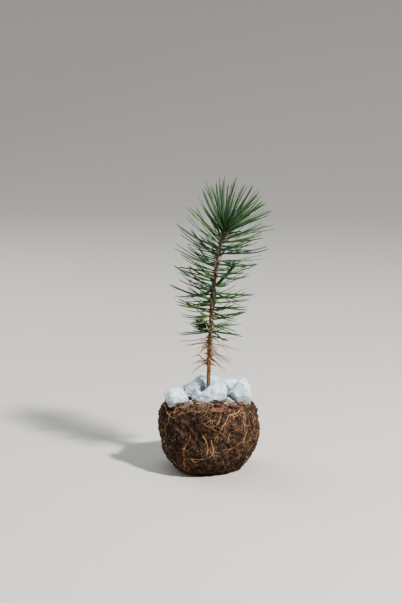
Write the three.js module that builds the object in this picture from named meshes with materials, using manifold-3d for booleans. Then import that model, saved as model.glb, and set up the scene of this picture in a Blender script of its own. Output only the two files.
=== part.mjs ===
// A young pine on its root ball: a slender stem that leans and then bends towards its tip, clothed in
// paired needles, a brush of needles round the end bud, three short side shoots and a dead twig.
// The root ball carries six pale stones and a scatter of bark chips round the stem's foot.
//
// Millimetres, +Z up. The origin is the middle of the root ball's flat underside.
// +X is the side that the tip leans to, and -Y is the front.
import * as THREE from "three";
import { mergeVertices } from "three/addons/utils/BufferGeometryUtils.js";
import Module from "manifold-3d";

const wasm = await Module();
wasm.setup();

// Room kept between neighbouring pieces.
const CLEARANCE = 0.3;

// The root ball: round below its waist, flatter on top, cut flat underneath, and lumpy all round.
const BALL_HEIGHT = 84;
const BALL_WAIST = 48;
const BALL_RADIUS = 57;
const BALL_FOOT_RADIUS = 35;
const BALL_TOP_POWER = 4;
const BALL_FOOT_POWER = 2.3;
const BALL_SIDES = 30;
const BALL_UNDER_STEPS = [0, 0.3, 0.55, 0.75, 0.88, 0.96]; // shares of the way from the foot to the waist
const BALL_TOP_STEPS = [1, 0.985, 0.955, 0.9, 0.8, 0.65, 0.45, 0.2]; // shares of the waist's radius
const BALL_WAVES = [
  { lobes: 2, share: 0.018, phase: 0.7, twist: 40 },
  { lobes: 3, share: 0.024, phase: 2.1, twist: -30 },
  { lobes: 5, share: 0.016, phase: 4.4, twist: 17 },
];

// The stem, measured up from the ground level at its foot.
const GROUND = BALL_HEIGHT + CLEARANCE;
const STEM_HEIGHT = 203;
const STEM_LEAN = 0.03;
const STEM_BEND = 14.7;
const STEM_BEND_POWER = 4;
const STEM_SWAY = 2.2;
const STEM_FOOT_RADIUS = 2.35;
const STEM_NECK_RADIUS = 1.55;
const FLARE = 1.3;
const FLARE_FADE = 5;
const FLARE_STEPS = [1.5, 3, 5];
const BUD_LENGTH = 9;
const BUD_RADIUS = 1.9;
const BUD_SWELL = 4; // how fast the neck widens into the bud
const BUD_STEPS = [0.2, 0.45, 0.7, 0.9];
const STEM_SIDES = 10;
const STEM_STEP = 8;

// Needles. Each table gives a value at some heights on the stem, with straight lines between.
const NEEDLE_RADIUS = 0.62;
const NEEDLE_SIDES = 3;
const NEEDLE_STEPS = 3;
const STRAIGHT_STEPS = 2;
const NEEDLE_TAPER_POWER = 3;
const NEEDLE_WASTE = 0.6; // how much of its width a needle has lost just before the tip
const NEEDLE_ROOT = 0.66; // how far outside the stem's face a needle starts, inside its sleeve
const TWIN_LOSS = 0.06; // the most by which one needle of a pair is shorter
const SLEEVE_WALL = 0.8;
const SLEEVE_GAP = 0.2; // how far a sleeve stops short of its tier's edge
const OVERRUN = 6; // how far a cutting shape runs past what it cuts
const GOLDEN_ANGLE = THREE.MathUtils.degToRad(137.508);
// RISE is in degrees off square to the stem, CURL in degrees gained towards the tip.
const RISE = [[40, -24], [74, -4], [110, 1], [150, 6], [178, 15], [192, 31]];
const CURL = [[40, -20], [74, 4], [110, 15], [150, 18], [178, 16], [192, 8]];
const LENGTH = [[40, 24], [74, 36], [95, 43], [130, 48], [170, 52], [192, 57]];
// SPACING runs up the stem from pair to pair.
const SPACING = [[40, 2.7], [74, 1.8], [110, 1.5], [150, 1.35], [178, 1.15], [192, 0.9]];
const AZIMUTH_JITTER = 16;
const HEIGHT_JITTER = 0.8;
const RISE_JITTER = 7;
const CURL_JITTER = 10;
const LENGTH_JITTER = 0.13;
const PAIR_SPREAD = [3, 9];
const PAIR_TILT = 2.5;
const SHEATH_ROOM = 1.1; // the nearest that a pair grows to its tier's edge
const DRAWS = 8; // random numbers drawn for each pair of needles
const ROOM_POINTS = 10; // places along a needle where its room is tested
const ATTEMPTS = 8; // how often a pair that would leave its room is drawn again before it is skipped
const TIER_EDGES = [74, 92, 110, 128, 146, 163, 179, 192];
const TIER_SEED = 4711;
const DRY_EDGES = [40, 73];
const DRY_SEED = 97;
const FOLIAGE_FLOOR = 26; // no needle of a tier hangs lower than this over the ground

// The brush of needles round the end bud.
const TUFT_PAIRS = 48;
const TUFT_LENGTH = 57;
const TUFT_LOW = 193.2;
const TUFT_HIGH = 199.5;
const TUFT_WIDEST = 53; // degrees from the stem's line
const TUFT_JITTER = 3;
const TUFT_CURL = [-4, 10];
const TUFT_SPREAD = 1.5;
const TUFT_ROOT = 0.75; // how far out of the bud's middle a needle starts, as a share of its radius
const TUFT_SEED = 1203;

// Side shoots: where each leaves the stem, its twig, and its own small brush.
const SHOOTS = [
  { name: "shoot_right", height: 130, azimuth: -18, rise: 46, twig: 13, pairs: 10, length: 30, fan: 13 },
  { name: "shoot_left", height: 76, azimuth: 172, rise: 30, twig: 9, pairs: 10, length: 18, fan: 34 },
  { name: "shoot_back", height: 101, azimuth: 84, rise: 38, twig: 12, pairs: 9, length: 24, fan: 20 },
];
const SHOOT_SEED = 21;
const SHOOT_RADIUS = 0.95;
const SHOOT_TIP_RADIUS = 0.7;
const SHOOT_ROOM = 2.2;
const SHOOT_CORE = 0.22; // how much of a brush's length its own little stem takes
const SHOOT_CORE_SWELL = 0.25;
const SHOOT_NEEDLE_RADIUS = 0.5;
const SHOOT_NARROWEST = 0.25; // how far the innermost pair opens, as a share of the fan
const SHOOT_LEAN = [0.2, 0.7];
const SHOOT_CURL = 3;
const LIMB_SIDES = 8;

// The dead twig low on the stem, with one broken spur.
const DEAD_TWIG = { height: 36, azimuth: 176, rise: 48, length: 19, radius: 0.85, tipRadius: 0.45 };
const DEAD_SPUR = { share: 0.72, azimuth: 196, rise: -16, length: 13, radius: 0.5, tipRadius: 0.32 };

// Pale stones bedded in the top of the root ball. Half sizes run along, across and up before the turn.
const STONES = [
  { name: "stone_back", at: [-2, 20], half: [29, 14.5, 16.5], turn: 6, tilt: -3, sink: 3, seed: 301 },
  { name: "stone_front", at: [-1, -17.5], half: [27, 12, 13.5], turn: -5, tilt: -20, sink: 3.5, seed: 302 },
  { name: "stone_tall", at: [38, -10], half: [13, 13, 17.5], turn: 18, tilt: -12, sink: 5, seed: 303 },
  { name: "stone_left", at: [-37.5, -17], half: [17.5, 14.5, 12], turn: 14, tilt: 8, sink: 4, seed: 304 },
  { name: "stone_small", at: [-19.5, 0], half: [11.5, 6, 8.5], turn: -14, tilt: 4, sink: 2, seed: 305 },
  { name: "stone_rear", at: [26, 37], half: [13.5, 11, 10.5], turn: 60, tilt: 5, sink: 4, seed: 306 },
];
const STONE_DETAIL = 3;
const STONE_FACETS = 13;
const FACET_DEPTH = [0.64, 0.86];
const FACET_JITTER = 0.5; // how far a facet strays from an even spread, as a share of their spacing
const FACET_SHOULDER = 0.05;
const STONE_SEAT = 0.76; // how much of its half height lies between its middle and its underside

// Bark chips on the rest of the top.
const CHIP_COUNT = 22;
const CHIP_LENGTH = [15, 27];
const CHIP_WIDTH = [8, 13];
const CHIP_THICKNESS = [3.5, 7];
const CHIP_TILT = 14;
const CHIP_SINK = 1.5;
const CHIP_CORNERS = 7;
const CHIP_RING = [8, 50];
const CHIP_SEED = 58;
const CHIP_TRIES = 9000;
const CHIP_SHRINK = 0.5; // the last tries are this much smaller
const CHIP_ROOM = 0.56; // room kept each side of its line, as a share of its width
const CHIP_SPOTS = [-0.34, 0, 0.34]; // where along it that room is measured
const CHIP_RIM = 3;
const CORNER_JITTER = 0.35;
const CORNER_DEPTH = [0.84, 1];
const STONE_SPOTS = [-0.85, 0, 0.85];
const STONE_ROOM = 0.97;
const STEM_FOOT_ROOM = 6;

const COLOURS = {
  soil: [0x3a2a20, 0.95],
  bark: [0x8a5a36, 0.8],
  needle: [0x3f7448, 0.5],
  dryNeedle: [0xa98a5a, 0.75],
  deadWood: [0x7a5d45, 0.85],
  stone: [0xd5dadd, 0.6],
  chip: [0x4d3426, 0.9],
};

const radians = THREE.MathUtils.degToRad;
const up = new THREE.Vector3(0, 0, 1);

// Small repeatable random source.
function seeded(seed) {
  let state = seed >>> 0;
  return () => {
    state = (state + 0x6d2b79f5) >>> 0;
    let t = state;
    t = Math.imul(t ^ (t >>> 15), t | 1);
    t ^= t + Math.imul(t ^ (t >>> 7), t | 61);
    return ((t ^ (t >>> 14)) >>> 0) / 4294967296;
  };
}

const within = ([low, high], share) => low + (high - low) * share;
const either = (share) => 2 * share - 1;

// The value of a table at a height.
function along(table, height) {
  if (height <= table[0][0]) return table[0][1];
  for (let i = 1; i < table.length; i++) {
    const [h0, v0] = table[i - 1];
    const [h1, v1] = table[i];
    if (height <= h1) return v0 + ((v1 - v0) * (height - h0)) / (h1 - h0);
  }
  return table[table.length - 1][1];
}

// A three.js geometry as a solid, its shared corners merged and its empty faces dropped.
function solid(geometry) {
  const bare = new THREE.BufferGeometry();
  bare.setAttribute("position", geometry.getAttribute("position"));
  bare.setIndex(geometry.getIndex());
  const merged = mergeVertices(bare, 1e-4);
  const index = merged.getIndex().array;
  const faces = [];
  for (let i = 0; i < index.length; i += 3) {
    const [a, b, c] = [index[i], index[i + 1], index[i + 2]];
    if (a !== b && b !== c && c !== a) faces.push(a, b, c);
  }
  return new wasm.Manifold(
    new wasm.Mesh({
      numProp: 3,
      vertProperties: new Float32Array(merged.getAttribute("position").array),
      triVerts: new Uint32Array(faces),
    }),
  );
}

function geometryOf(body) {
  const mesh = body.getMesh();
  const geometry = new THREE.BufferGeometry();
  geometry.setAttribute("position", new THREE.BufferAttribute(mesh.vertProperties, 3));
  geometry.setIndex(new THREE.BufferAttribute(mesh.triVerts, 1));
  geometry.computeVertexNormals();
  return geometry;
}

// Moves every corner of a geometry by a function of its place.
function reshape(geometry, move) {
  const position = geometry.getAttribute("position");
  const point = new THREE.Vector3();
  for (let i = 0; i < position.count; i++) {
    point.fromBufferAttribute(position, i);
    const moved = move(point);
    position.setXYZ(i, moved.x, moved.y, moved.z);
  }
  return geometry;
}

// A turned shape about Z, from radii and heights.
function turned(profile, sides) {
  const lathe = new THREE.LatheGeometry(profile.map(([r, z]) => new THREE.Vector2(r, z)), sides);
  return lathe.rotateX(Math.PI / 2);
}

// The stem's middle line and thickness, in the frame of the whole part.
function stemAt(height) {
  const share = height / STEM_HEIGHT;
  return new THREE.Vector3(
    STEM_LEAN * height + STEM_BEND * share ** STEM_BEND_POWER,
    STEM_SWAY * Math.sin(Math.PI * share),
    GROUND + height,
  );
}

function stemDirection(height) {
  const share = height / STEM_HEIGHT;
  return new THREE.Vector3(
    STEM_LEAN + (STEM_BEND * STEM_BEND_POWER * share ** (STEM_BEND_POWER - 1)) / STEM_HEIGHT,
    (STEM_SWAY * Math.PI * Math.cos(Math.PI * share)) / STEM_HEIGHT,
    1,
  ).normalize();
}

function stemRadius(height) {
  const budFoot = STEM_HEIGHT - BUD_LENGTH;
  if (height > budFoot) {
    const share = (height - budFoot) / BUD_LENGTH;
    const swell = Math.sqrt(Math.max(0, 1 - share ** 2));
    const width = Math.min(1, BUD_SWELL * share);
    return swell * (STEM_NECK_RADIUS + (BUD_RADIUS - STEM_NECK_RADIUS) * width);
  }
  const taper = STEM_FOOT_RADIUS + ((STEM_NECK_RADIUS - STEM_FOOT_RADIUS) * height) / budFoot;
  return taper + FLARE * Math.exp(-height / FLARE_FADE);
}

// A length of stem, grown all round by a margin: the stem itself, or a sleeve's inside or outside.
function stemLength(low, high, margin, closedTip) {
  const heights = [];
  const steps = Math.max(1, Math.round((high - low) / STEM_STEP));
  for (let i = 0; i <= steps; i++) heights.push(low + ((high - low) * i) / steps);
  if (low < FLARE_FADE) heights.push(...FLARE_STEPS.map((step) => low + step));
  if (closedTip) heights.push(...BUD_STEPS.map((share) => STEM_HEIGHT - BUD_LENGTH * (1 - share)));
  heights.sort((a, b) => a - b);
  const profile = [[0, low]];
  for (const height of heights) profile.push([stemRadius(height) + margin, height]);
  if (closedTip) profile.push([0, STEM_HEIGHT + margin]);
  else profile.push([0, high]);
  const shape = turned(profile, STEM_SIDES);
  return reshape(shape, (p) => {
    const middle = stemAt(Math.min(p.z, STEM_HEIGHT));
    return new THREE.Vector3(p.x + middle.x, p.y + middle.y, p.z + GROUND);
  });
}

// Directions square to a line: the one nearest to an azimuth, measured from +X, and the one beside it.
function squareTo(direction, azimuth) {
  const flat = new THREE.Vector3(Math.cos(azimuth), Math.sin(azimuth), 0);
  const out = flat.addScaledVector(direction, -flat.dot(direction)).normalize();
  return { out, beside: new THREE.Vector3().crossVectors(direction, out) };
}

// A needle's middle line: an arc that leaves at one rise and ends at another.
class Arc {
  constructor(start, out, axis, length, rise, curl) {
    Object.assign(this, { start, out, axis, length, rise });
    this.curl = Math.abs(curl) < 1e-3 ? 1e-3 : curl;
    this.beside = new THREE.Vector3().crossVectors(axis, out).normalize();
  }
  point(t) {
    const turn = this.rise + this.curl * t;
    const forward = (this.length * (Math.sin(turn) - Math.sin(this.rise))) / this.curl;
    const climb = (this.length * (Math.cos(this.rise) - Math.cos(turn))) / this.curl;
    return this.start.clone().addScaledVector(this.out, forward).addScaledVector(this.axis, climb);
  }
  direction(t) {
    const turn = this.rise + this.curl * t;
    return this.out.clone().multiplyScalar(Math.cos(turn)).addScaledVector(this.axis, Math.sin(turn));
  }
}

// One needle: a three-sided cone drawn out along its arc, keeping its width until near the tip.
function needleSolid(arc, radius, steps = NEEDLE_STEPS) {
  const cone = new THREE.ConeGeometry(1, 1, NEEDLE_SIDES, steps);
  reshape(cone, (p) => {
    const t = p.y + 0.5;
    const width = t > 0.999 ? 0 : radius * (1 - NEEDLE_WASTE * t ** NEEDLE_TAPER_POWER);
    const fullWidth = Math.max(1e-9, 1 - t);
    const direction = arc.direction(t);
    const above = new THREE.Vector3().crossVectors(direction, arc.beside);
    return arc
      .point(t)
      .addScaledVector(arc.beside, (p.x / fullWidth) * width)
      .addScaledVector(above, (-p.z / fullWidth) * width);
  });
  return solid(cone);
}

// The two arcs of a pair of needles at a height, from eight drawn numbers.
function pairAt(height, azimuth, draw) {
  const at = height + either(draw[1]) * HEIGHT_JITTER;
  const direction = stemDirection(at);
  const rise = radians(along(RISE, at) + either(draw[2]) * RISE_JITTER);
  const curl = radians(along(CURL, at) + either(draw[3]) * CURL_JITTER);
  const length = along(LENGTH, at) * (1 + either(draw[4]) * LENGTH_JITTER);
  const spread = radians(within(PAIR_SPREAD, draw[5])) / 2;
  const tilt = radians(either(draw[6]) * PAIR_TILT);
  const turn = azimuth + radians(either(draw[0]) * AZIMUTH_JITTER);
  return [-1, 1].map((side) => {
    const { out } = squareTo(direction, turn + side * spread);
    const start = stemAt(at).addScaledVector(out, stemRadius(at) + NEEDLE_ROOT);
    const own = length * (1 - TWIN_LOSS * (side > 0 ? draw[7] : 0));
    return new Arc(start, out, direction, own, rise + side * tilt, curl);
  });
}

// Height of a point over the surface that parts two tiers, which spreads from the stem as its needles do.
function heightOver(point, edge) {
  const direction = stemDirection(edge);
  const offset = point.clone().sub(stemAt(edge));
  const climb = offset.dot(direction);
  const reach = Math.sqrt(Math.max(0, offset.lengthSq() - climb ** 2));
  const rise = radians(along(RISE, edge));
  const curl = radians(along(CURL, edge));
  const bend = (curl * reach ** 2) / (2 * along(LENGTH, edge) * Math.cos(rise) ** 3);
  return climb - reach * Math.tan(rise) - bend;
}

// A side shoot's line, and the tapering room that other needles leave it.
function shootLine(shoot) {
  const direction = stemDirection(shoot.height);
  const { out } = squareTo(direction, radians(shoot.azimuth));
  const rise = radians(shoot.rise);
  const line = out.multiplyScalar(Math.cos(rise)).addScaledVector(direction, Math.sin(rise));
  return { from: stemAt(shoot.height), line, reach: shoot.twig + shoot.length };
}

// The room that the stem and its sleeves take, which the limbs are cut clear of.
const stemRoom = solid(stemLength(20, 60, CLEARANCE, false));
const sleeveRoom = solid(stemLength(DRY_EDGES[0], 190, CLEARANCE * 2 + SLEEVE_WALL, false));

const lines = SHOOTS.map(shootLine);
const deadLine = shootLine({ ...DEAD_TWIG, twig: DEAD_TWIG.length, length: 0 });

function clearOfShoots(point) {
  const clearOfSide = lines.every(({ from, line, reach }, i) => {
    const offset = point.clone().sub(from);
    const forward = offset.dot(line);
    const away = Math.sqrt(Math.max(0, offset.lengthSq() - forward ** 2));
    const past = Math.max(0, forward - SHOOTS[i].twig);
    const room = SHOOT_ROOM + past * Math.tan(radians(SHOOTS[i].fan)) + NEEDLE_RADIUS;
    return forward < 0 || forward > reach + SHOOT_ROOM || away > room;
  });
  const offset = point.clone().sub(deadLine.from);
  const forward = offset.dot(deadLine.line);
  const away = Math.sqrt(Math.max(0, offset.lengthSq() - forward ** 2));
  const spurRoom = SHOOT_ROOM + (forward > DEAD_TWIG.length / 2 ? DEAD_SPUR.length : 0);
  return clearOfSide && (forward < 0 || forward > DEAD_TWIG.length + SHOOT_ROOM || away > spurRoom);
}

// Whether a needle stays in the room between two tier edges, clear of the shoots and of the stones.
function keepsItsRoom(arc, low, high) {
  const margin = NEEDLE_RADIUS + CLEARANCE;
  for (let i = 1; i <= ROOM_POINTS; i++) {
    const point = arc.point(i / ROOM_POINTS);
    if (low !== null && heightOver(point, low) < margin) return false;
    if (high !== null && heightOver(point, high) > -margin) return false;
    if (!clearOfShoots(point)) return false;
    if (point.z < GROUND + FOLIAGE_FLOOR) return false;
  }
  return true;
}

// The pairs that grow between two heights, each turned on from the last by the golden angle.
function pairsBetween(low, high, seed) {
  const random = seeded(seed);
  const pairs = [];
  let azimuth = random() * 2 * Math.PI;
  for (let height = low + SHEATH_ROOM; height < high - SHEATH_ROOM; height += along(SPACING, height)) {
    for (let attempt = 0; attempt < ATTEMPTS; attempt++) {
      const draw = Array.from({ length: DRAWS }, random);
      const arcs = pairAt(height, azimuth, draw);
      if (arcs.every((arc) => keepsItsRoom(arc, low, high))) {
        pairs.push(arcs);
        break;
      }
    }
    azimuth += GOLDEN_ANGLE;
  }
  return pairs;
}

// A tier of needles: a thin sleeve round the stem with the needles fused into it.
function tier(low, high, pairs) {
  const [foot, head] = [low + SLEEVE_GAP, high - SLEEVE_GAP];
  let body = solid(stemLength(foot, head, CLEARANCE + SLEEVE_WALL, false));
  for (const arc of pairs.flat()) body = body.add(needleSolid(arc, NEEDLE_RADIUS));
  return body.subtract(solid(stemLength(foot - OVERRUN, head + OVERRUN, CLEARANCE, false)));
}

// The brush at the tip: needles that open out from the bud, fused into a cap over it.
function tuftPairs() {
  const random = seeded(TUFT_SEED);
  const widest = 1 - Math.cos(radians(TUFT_WIDEST));
  return Array.from({ length: TUFT_PAIRS }, (_, i) => {
    const draw = Array.from({ length: DRAWS }, random);
    const share = (i + 0.5) / TUFT_PAIRS;
    const opening = Math.acos(1 - widest * share) + radians(either(draw[2]) * TUFT_JITTER);
    const height = TUFT_HIGH + (TUFT_LOW - TUFT_HIGH) * share;
    const azimuth = i * GOLDEN_ANGLE + radians(either(draw[0]) * AZIMUTH_JITTER);
    const length = TUFT_LENGTH * (1 + (either(draw[4]) * LENGTH_JITTER) / 2);
    const direction = stemDirection(STEM_HEIGHT);
    const spread = radians(within(PAIR_SPREAD, draw[5])) / 2;
    const curl = radians(within(TUFT_CURL, draw[3]));
    const arcs = [-1, 1].map((side) => {
      const { out, beside } = squareTo(direction, azimuth);
      const lean = out.clone().addScaledVector(beside, side * Math.tan(spread) * TUFT_SPREAD).normalize();
      const start = stemAt(height).addScaledVector(out, stemRadius(height) * TUFT_ROOT + CLEARANCE);
      const own = length * (1 - TWIN_LOSS * (side > 0 ? draw[7] : 0));
      const rise = Math.PI / 2 - opening + side * radians(either(draw[6]) * PAIR_TILT);
      return new Arc(start, lean, direction, own, rise, curl);
    });
    return arcs;
  });
}

function tuft() {
  const edge = TIER_EDGES[TIER_EDGES.length - 1];
  const foot = edge + SLEEVE_GAP;
  let body = solid(stemLength(foot, STEM_HEIGHT - BUD_LENGTH, CLEARANCE + SLEEVE_WALL, true));
  for (const arc of tuftPairs().flat()) {
    if (keepsItsRoom(arc, edge, null)) body = body.add(needleSolid(arc, NEEDLE_RADIUS, STRAIGHT_STEPS));
  }
  return body.subtract(solid(stemLength(foot - OVERRUN, STEM_HEIGHT - BUD_LENGTH, CLEARANCE, true)));
}

// A straight tapering limb from a point, square across at its foot and blunt at its tip.
function limb(from, line, low, high, radius, tipRadius) {
  const length = high - low;
  const rod = new THREE.CylinderGeometry(tipRadius, radius, length, LIMB_SIDES);
  rod.translate(0, length / 2 + low, 0);
  const turn = new THREE.Quaternion().setFromUnitVectors(new THREE.Vector3(0, 1, 0), line);
  return solid(rod.applyQuaternion(turn).translate(from.x, from.y, from.z));
}

// A side shoot's twig, cut clear of the stem and of any sleeve round it.
function shootTwig(shoot, { from, line }) {
  const body = limb(from, line, 0, shoot.twig, SHOOT_RADIUS, SHOOT_TIP_RADIUS);
  return body.subtract(sleeveRoom);
}

// The shoot's brush: a short stem past the twig's tip, with pairs of needles fused into it.
function shootPairs(shoot, { from, line }) {
  const random = seeded(SHOOT_SEED + SHOOTS.indexOf(shoot));
  const core = shoot.length * SHOOT_CORE;
  return Array.from({ length: shoot.pairs }, (_, i) => {
    const draw = Array.from({ length: DRAWS }, random);
    const share = (i + 0.5) / shoot.pairs;
    const opening = radians(shoot.fan * within([SHOOT_NARROWEST, 1], share) * within([0.8, 1.2], draw[2]));
    const forward = shoot.twig + 1 + core * (1 - share);
    const azimuth = i * GOLDEN_ANGLE + radians(either(draw[0]) * AZIMUTH_JITTER);
    const length = (shoot.length - core * (1 - share) - 2) * (1 - draw[4] * LENGTH_JITTER * 2);
    const { out, beside } = squareTo(line, azimuth);
    const start = from.clone().addScaledVector(line, forward).addScaledVector(out, SHOOT_RADIUS / 4);
    const arcs = [-1, 1].map((side) => {
      const lean = out.clone().addScaledVector(beside, side * within(SHOOT_LEAN, draw[5])).normalize();
      const own = length * (1 - TWIN_LOSS * (side > 0 ? draw[7] : 0));
      return new Arc(start, lean, line, own, Math.PI / 2 - opening, radians(SHOOT_CURL * either(draw[3])));
    });
    return arcs;
  });
}

function shootBrush(shoot, place) {
  const { from, line } = place;
  const foot = shoot.twig + CLEARANCE;
  const head = foot + shoot.length * SHOOT_CORE + 1;
  let body = limb(from, line, foot, head, SHOOT_TIP_RADIUS + SHOOT_CORE_SWELL, SHOOT_TIP_RADIUS);
  for (const arc of shootPairs(shoot, place).flat()) {
    body = body.add(needleSolid(arc, SHOOT_NEEDLE_RADIUS, STRAIGHT_STEPS));
  }
  return body;
}

// The dead twig and its spur, in one piece.
function deadTwig() {
  const { from, line } = deadLine;
  const knee = from.clone().addScaledVector(line, DEAD_TWIG.length * DEAD_SPUR.share);
  const { out } = squareTo(up, radians(DEAD_SPUR.azimuth));
  const rise = radians(DEAD_SPUR.rise);
  const spurLine = out.multiplyScalar(Math.cos(rise)).addScaledVector(up, Math.sin(rise));
  const twig = limb(from, line, 0, DEAD_TWIG.length, DEAD_TWIG.radius, DEAD_TWIG.tipRadius);
  const spur = limb(knee, spurLine, 0, DEAD_SPUR.length, DEAD_SPUR.radius, DEAD_SPUR.tipRadius);
  return twig.add(spur).subtract(stemRoom).subtract(sleeveRoom);
}

// A stone: a ball cut by flat facets, drawn out to its half sizes, turned and bedded.
function stoneSolid(stone, margin) {
  const random = seeded(stone.seed);
  const facets = Array.from({ length: STONE_FACETS }, (_, i) => {
    const climb = either((i + 0.5 + either(random()) * FACET_JITTER) / STONE_FACETS);
    const turn = (i + either(random()) * FACET_JITTER) * GOLDEN_ANGLE;
    const flat = Math.sqrt(1 - climb ** 2);
    const facing = new THREE.Vector3(flat * Math.cos(turn), flat * Math.sin(turn), climb);
    return { facing, depth: within(FACET_DEPTH, random()) };
  });
  const ball = new THREE.IcosahedronGeometry(1, STONE_DETAIL);
  reshape(ball, (p) => {
    const unit = p.clone().normalize();
    let reach = 1;
    for (const { facing, depth } of facets) {
      const towards = unit.dot(facing);
      if (towards > FACET_SHOULDER) reach = Math.min(reach, depth / towards);
    }
    unit.multiplyScalar(reach);
    const [a, b, c] = stone.half;
    return new THREE.Vector3(unit.x * (a + margin), unit.y * (b + margin), unit.z * (c + margin));
  });
  ball.rotateY(radians(stone.tilt)).rotateZ(radians(stone.turn));
  const height = BALL_HEIGHT - stone.sink + stone.half[2] * STONE_SEAT;
  return solid(ball.translate(stone.at[0], stone.at[1], height));
}

// The height of the root ball over and under its waist, at a distance from its middle.
const swell = (reach, power) => (1 - (reach / BALL_RADIUS) ** power) ** (1 / power);
const ballTop = (reach) => BALL_WAIST + (BALL_HEIGHT - BALL_WAIST) * swell(reach, BALL_TOP_POWER);
const ballUnder = (reach) =>
  BALL_WAIST * (1 - swell(reach, BALL_FOOT_POWER) / swell(BALL_FOOT_RADIUS, BALL_FOOT_POWER));

// Where the bark chips lie: drawn at random, and kept where there is room among the stones and the rest.
function chipPlaces() {
  const random = seeded(CHIP_SEED);
  const taken = [{ x: 0, y: 0, r: STEM_FOOT_ROOM }];
  for (const { at, half, turn } of STONES) {
    for (const end of STONE_SPOTS) {
      const shift = end * (half[0] - half[1]);
      const x = at[0] + Math.cos(radians(turn)) * shift;
      const y = at[1] + Math.sin(radians(turn)) * shift;
      taken.push({ x, y, r: half[1] * STONE_ROOM });
    }
  }
  const chips = [];
  for (let i = 0; i < CHIP_TRIES && chips.length < CHIP_COUNT; i++) {
    const draw = Array.from({ length: DRAWS }, random);
    const reach = within(CHIP_RING, Math.sqrt(draw[0]));
    const turn = draw[1] * 2 * Math.PI;
    const shrink = 1 - (CHIP_SHRINK * i) / CHIP_TRIES;
    const length = within(CHIP_LENGTH, draw[2]) * shrink;
    const width = within(CHIP_WIDTH, draw[3]) * shrink;
    const [x, y] = [reach * Math.cos(turn), reach * Math.sin(turn)];
    const heading = draw[4] * Math.PI;
    const spots = CHIP_SPOTS.map((end) => ({
      x: x + end * length * Math.cos(heading),
      y: y + end * length * Math.sin(heading),
      r: width * CHIP_ROOM,
    }));
    const inside = spots.every((s) => Math.hypot(s.x, s.y) + s.r < BALL_RADIUS - CHIP_RIM);
    const free = spots.every((s) => taken.every((t) => Math.hypot(s.x - t.x, s.y - t.y) > s.r + t.r));
    if (inside && free) {
      taken.push(...spots);
      chips.push({
        x, y, length, width, heading, reach, turn,
        slope: Math.atan((ballTop(reach - 1) - ballTop(reach + 1)) / 2),
        thickness: within(CHIP_THICKNESS, draw[5]),
        tilt: radians(either(draw[6]) * CHIP_TILT),
        roll: radians(either(draw[7]) * CHIP_TILT),
        seed: CHIP_SEED + i,
      });
    }
  }
  return chips;
}

// A bark chip: a ragged flake, longer than it is wide.
function chipSolid(chip, margin) {
  const random = seeded(chip.seed);
  const outline = new THREE.Shape(
    Array.from({ length: CHIP_CORNERS }, (_, i) => {
      const turn = ((i + CORNER_JITTER * either(random())) / CHIP_CORNERS) * 2 * Math.PI;
      const ragged = within(CORNER_DEPTH, random());
      return new THREE.Vector2(
        Math.cos(turn) * (chip.length / 2 + margin) * ragged,
        Math.sin(turn) * (chip.width / 2 + margin) * ragged,
      );
    }),
  );
  const depth = chip.thickness + 2 * margin;
  const flake = new THREE.ExtrudeGeometry(outline, { depth, bevelEnabled: false });
  flake.translate(0, 0, -margin - CHIP_SINK).rotateY(chip.tilt).rotateX(chip.roll).rotateZ(chip.heading);
  flake.rotateZ(-chip.turn).rotateY(chip.slope).rotateZ(chip.turn);
  return solid(flake.translate(chip.x, chip.y, ballTop(chip.reach)));
}

// The root ball before its seats are cut: a turned profile with a wavy outline.
function ballBlank() {
  const profile = [[0, 0]];
  for (const share of BALL_UNDER_STEPS) {
    const reach = BALL_FOOT_RADIUS + (BALL_RADIUS - BALL_FOOT_RADIUS) * share;
    profile.push([reach, ballUnder(reach)]);
  }
  for (const share of BALL_TOP_STEPS) {
    profile.push([BALL_RADIUS * share, ballTop(BALL_RADIUS * share)]);
  }
  profile.push([0, BALL_HEIGHT]);
  return reshape(turned(profile, BALL_SIDES), (p) => {
    const turn = Math.atan2(p.y, p.x);
    const wave = BALL_WAVES.reduce(
      (sum, { lobes, share, phase, twist }) => sum + share * Math.sin(lobes * turn + phase + p.z / twist),
      0,
    );
    return new THREE.Vector3(p.x * (1 + wave), p.y * (1 + wave), p.z);
  });
}

function rootBall(chips) {
  let body = solid(ballBlank());
  for (const stone of STONES) body = body.subtract(stoneSolid(stone, CLEARANCE));
  for (const chip of chips) body = body.subtract(chipSolid(chip, CLEARANCE));
  return body;
}

const part = new THREE.Group();

function addPiece(name, body, [colour, roughness]) {
  const material = new THREE.MeshStandardMaterial({ color: colour, roughness, metalness: 0 });
  const mesh = new THREE.Mesh(geometryOf(body), material);
  mesh.name = name;
  part.add(mesh);
}

const chips = chipPlaces();

addPiece("root_ball", rootBall(chips), COLOURS.soil);
addPiece("stem", solid(stemLength(0, STEM_HEIGHT - BUD_LENGTH, 0, true)), COLOURS.bark);
addPiece("top_tuft", tuft(), COLOURS.needle);

for (let i = 1; i < TIER_EDGES.length; i++) {
  const [low, high] = [TIER_EDGES[i - 1], TIER_EDGES[i]];
  const pairs = pairsBetween(low, high, TIER_SEED + i);
  addPiece(`needle_tier_${i}`, tier(low, high, pairs), COLOURS.needle);
}
const [dryLow, dryHigh] = DRY_EDGES;
addPiece("dry_needles", tier(dryLow, dryHigh, pairsBetween(dryLow, dryHigh, DRY_SEED)), COLOURS.dryNeedle);

SHOOTS.forEach((shoot, i) => {
  addPiece(shoot.name, shootTwig(shoot, lines[i]), COLOURS.bark);
  addPiece(`${shoot.name}_tuft`, shootBrush(shoot, lines[i]), COLOURS.needle);
});
addPiece("dead_twig", deadTwig(), COLOURS.deadWood);

for (const stone of STONES) addPiece(stone.name, stoneSolid(stone, 0), COLOURS.stone);
chips.forEach((chip, i) => addPiece(`bark_chip_${i + 1}`, chipSolid(chip, 0), COLOURS.chip));

export default part;
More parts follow.
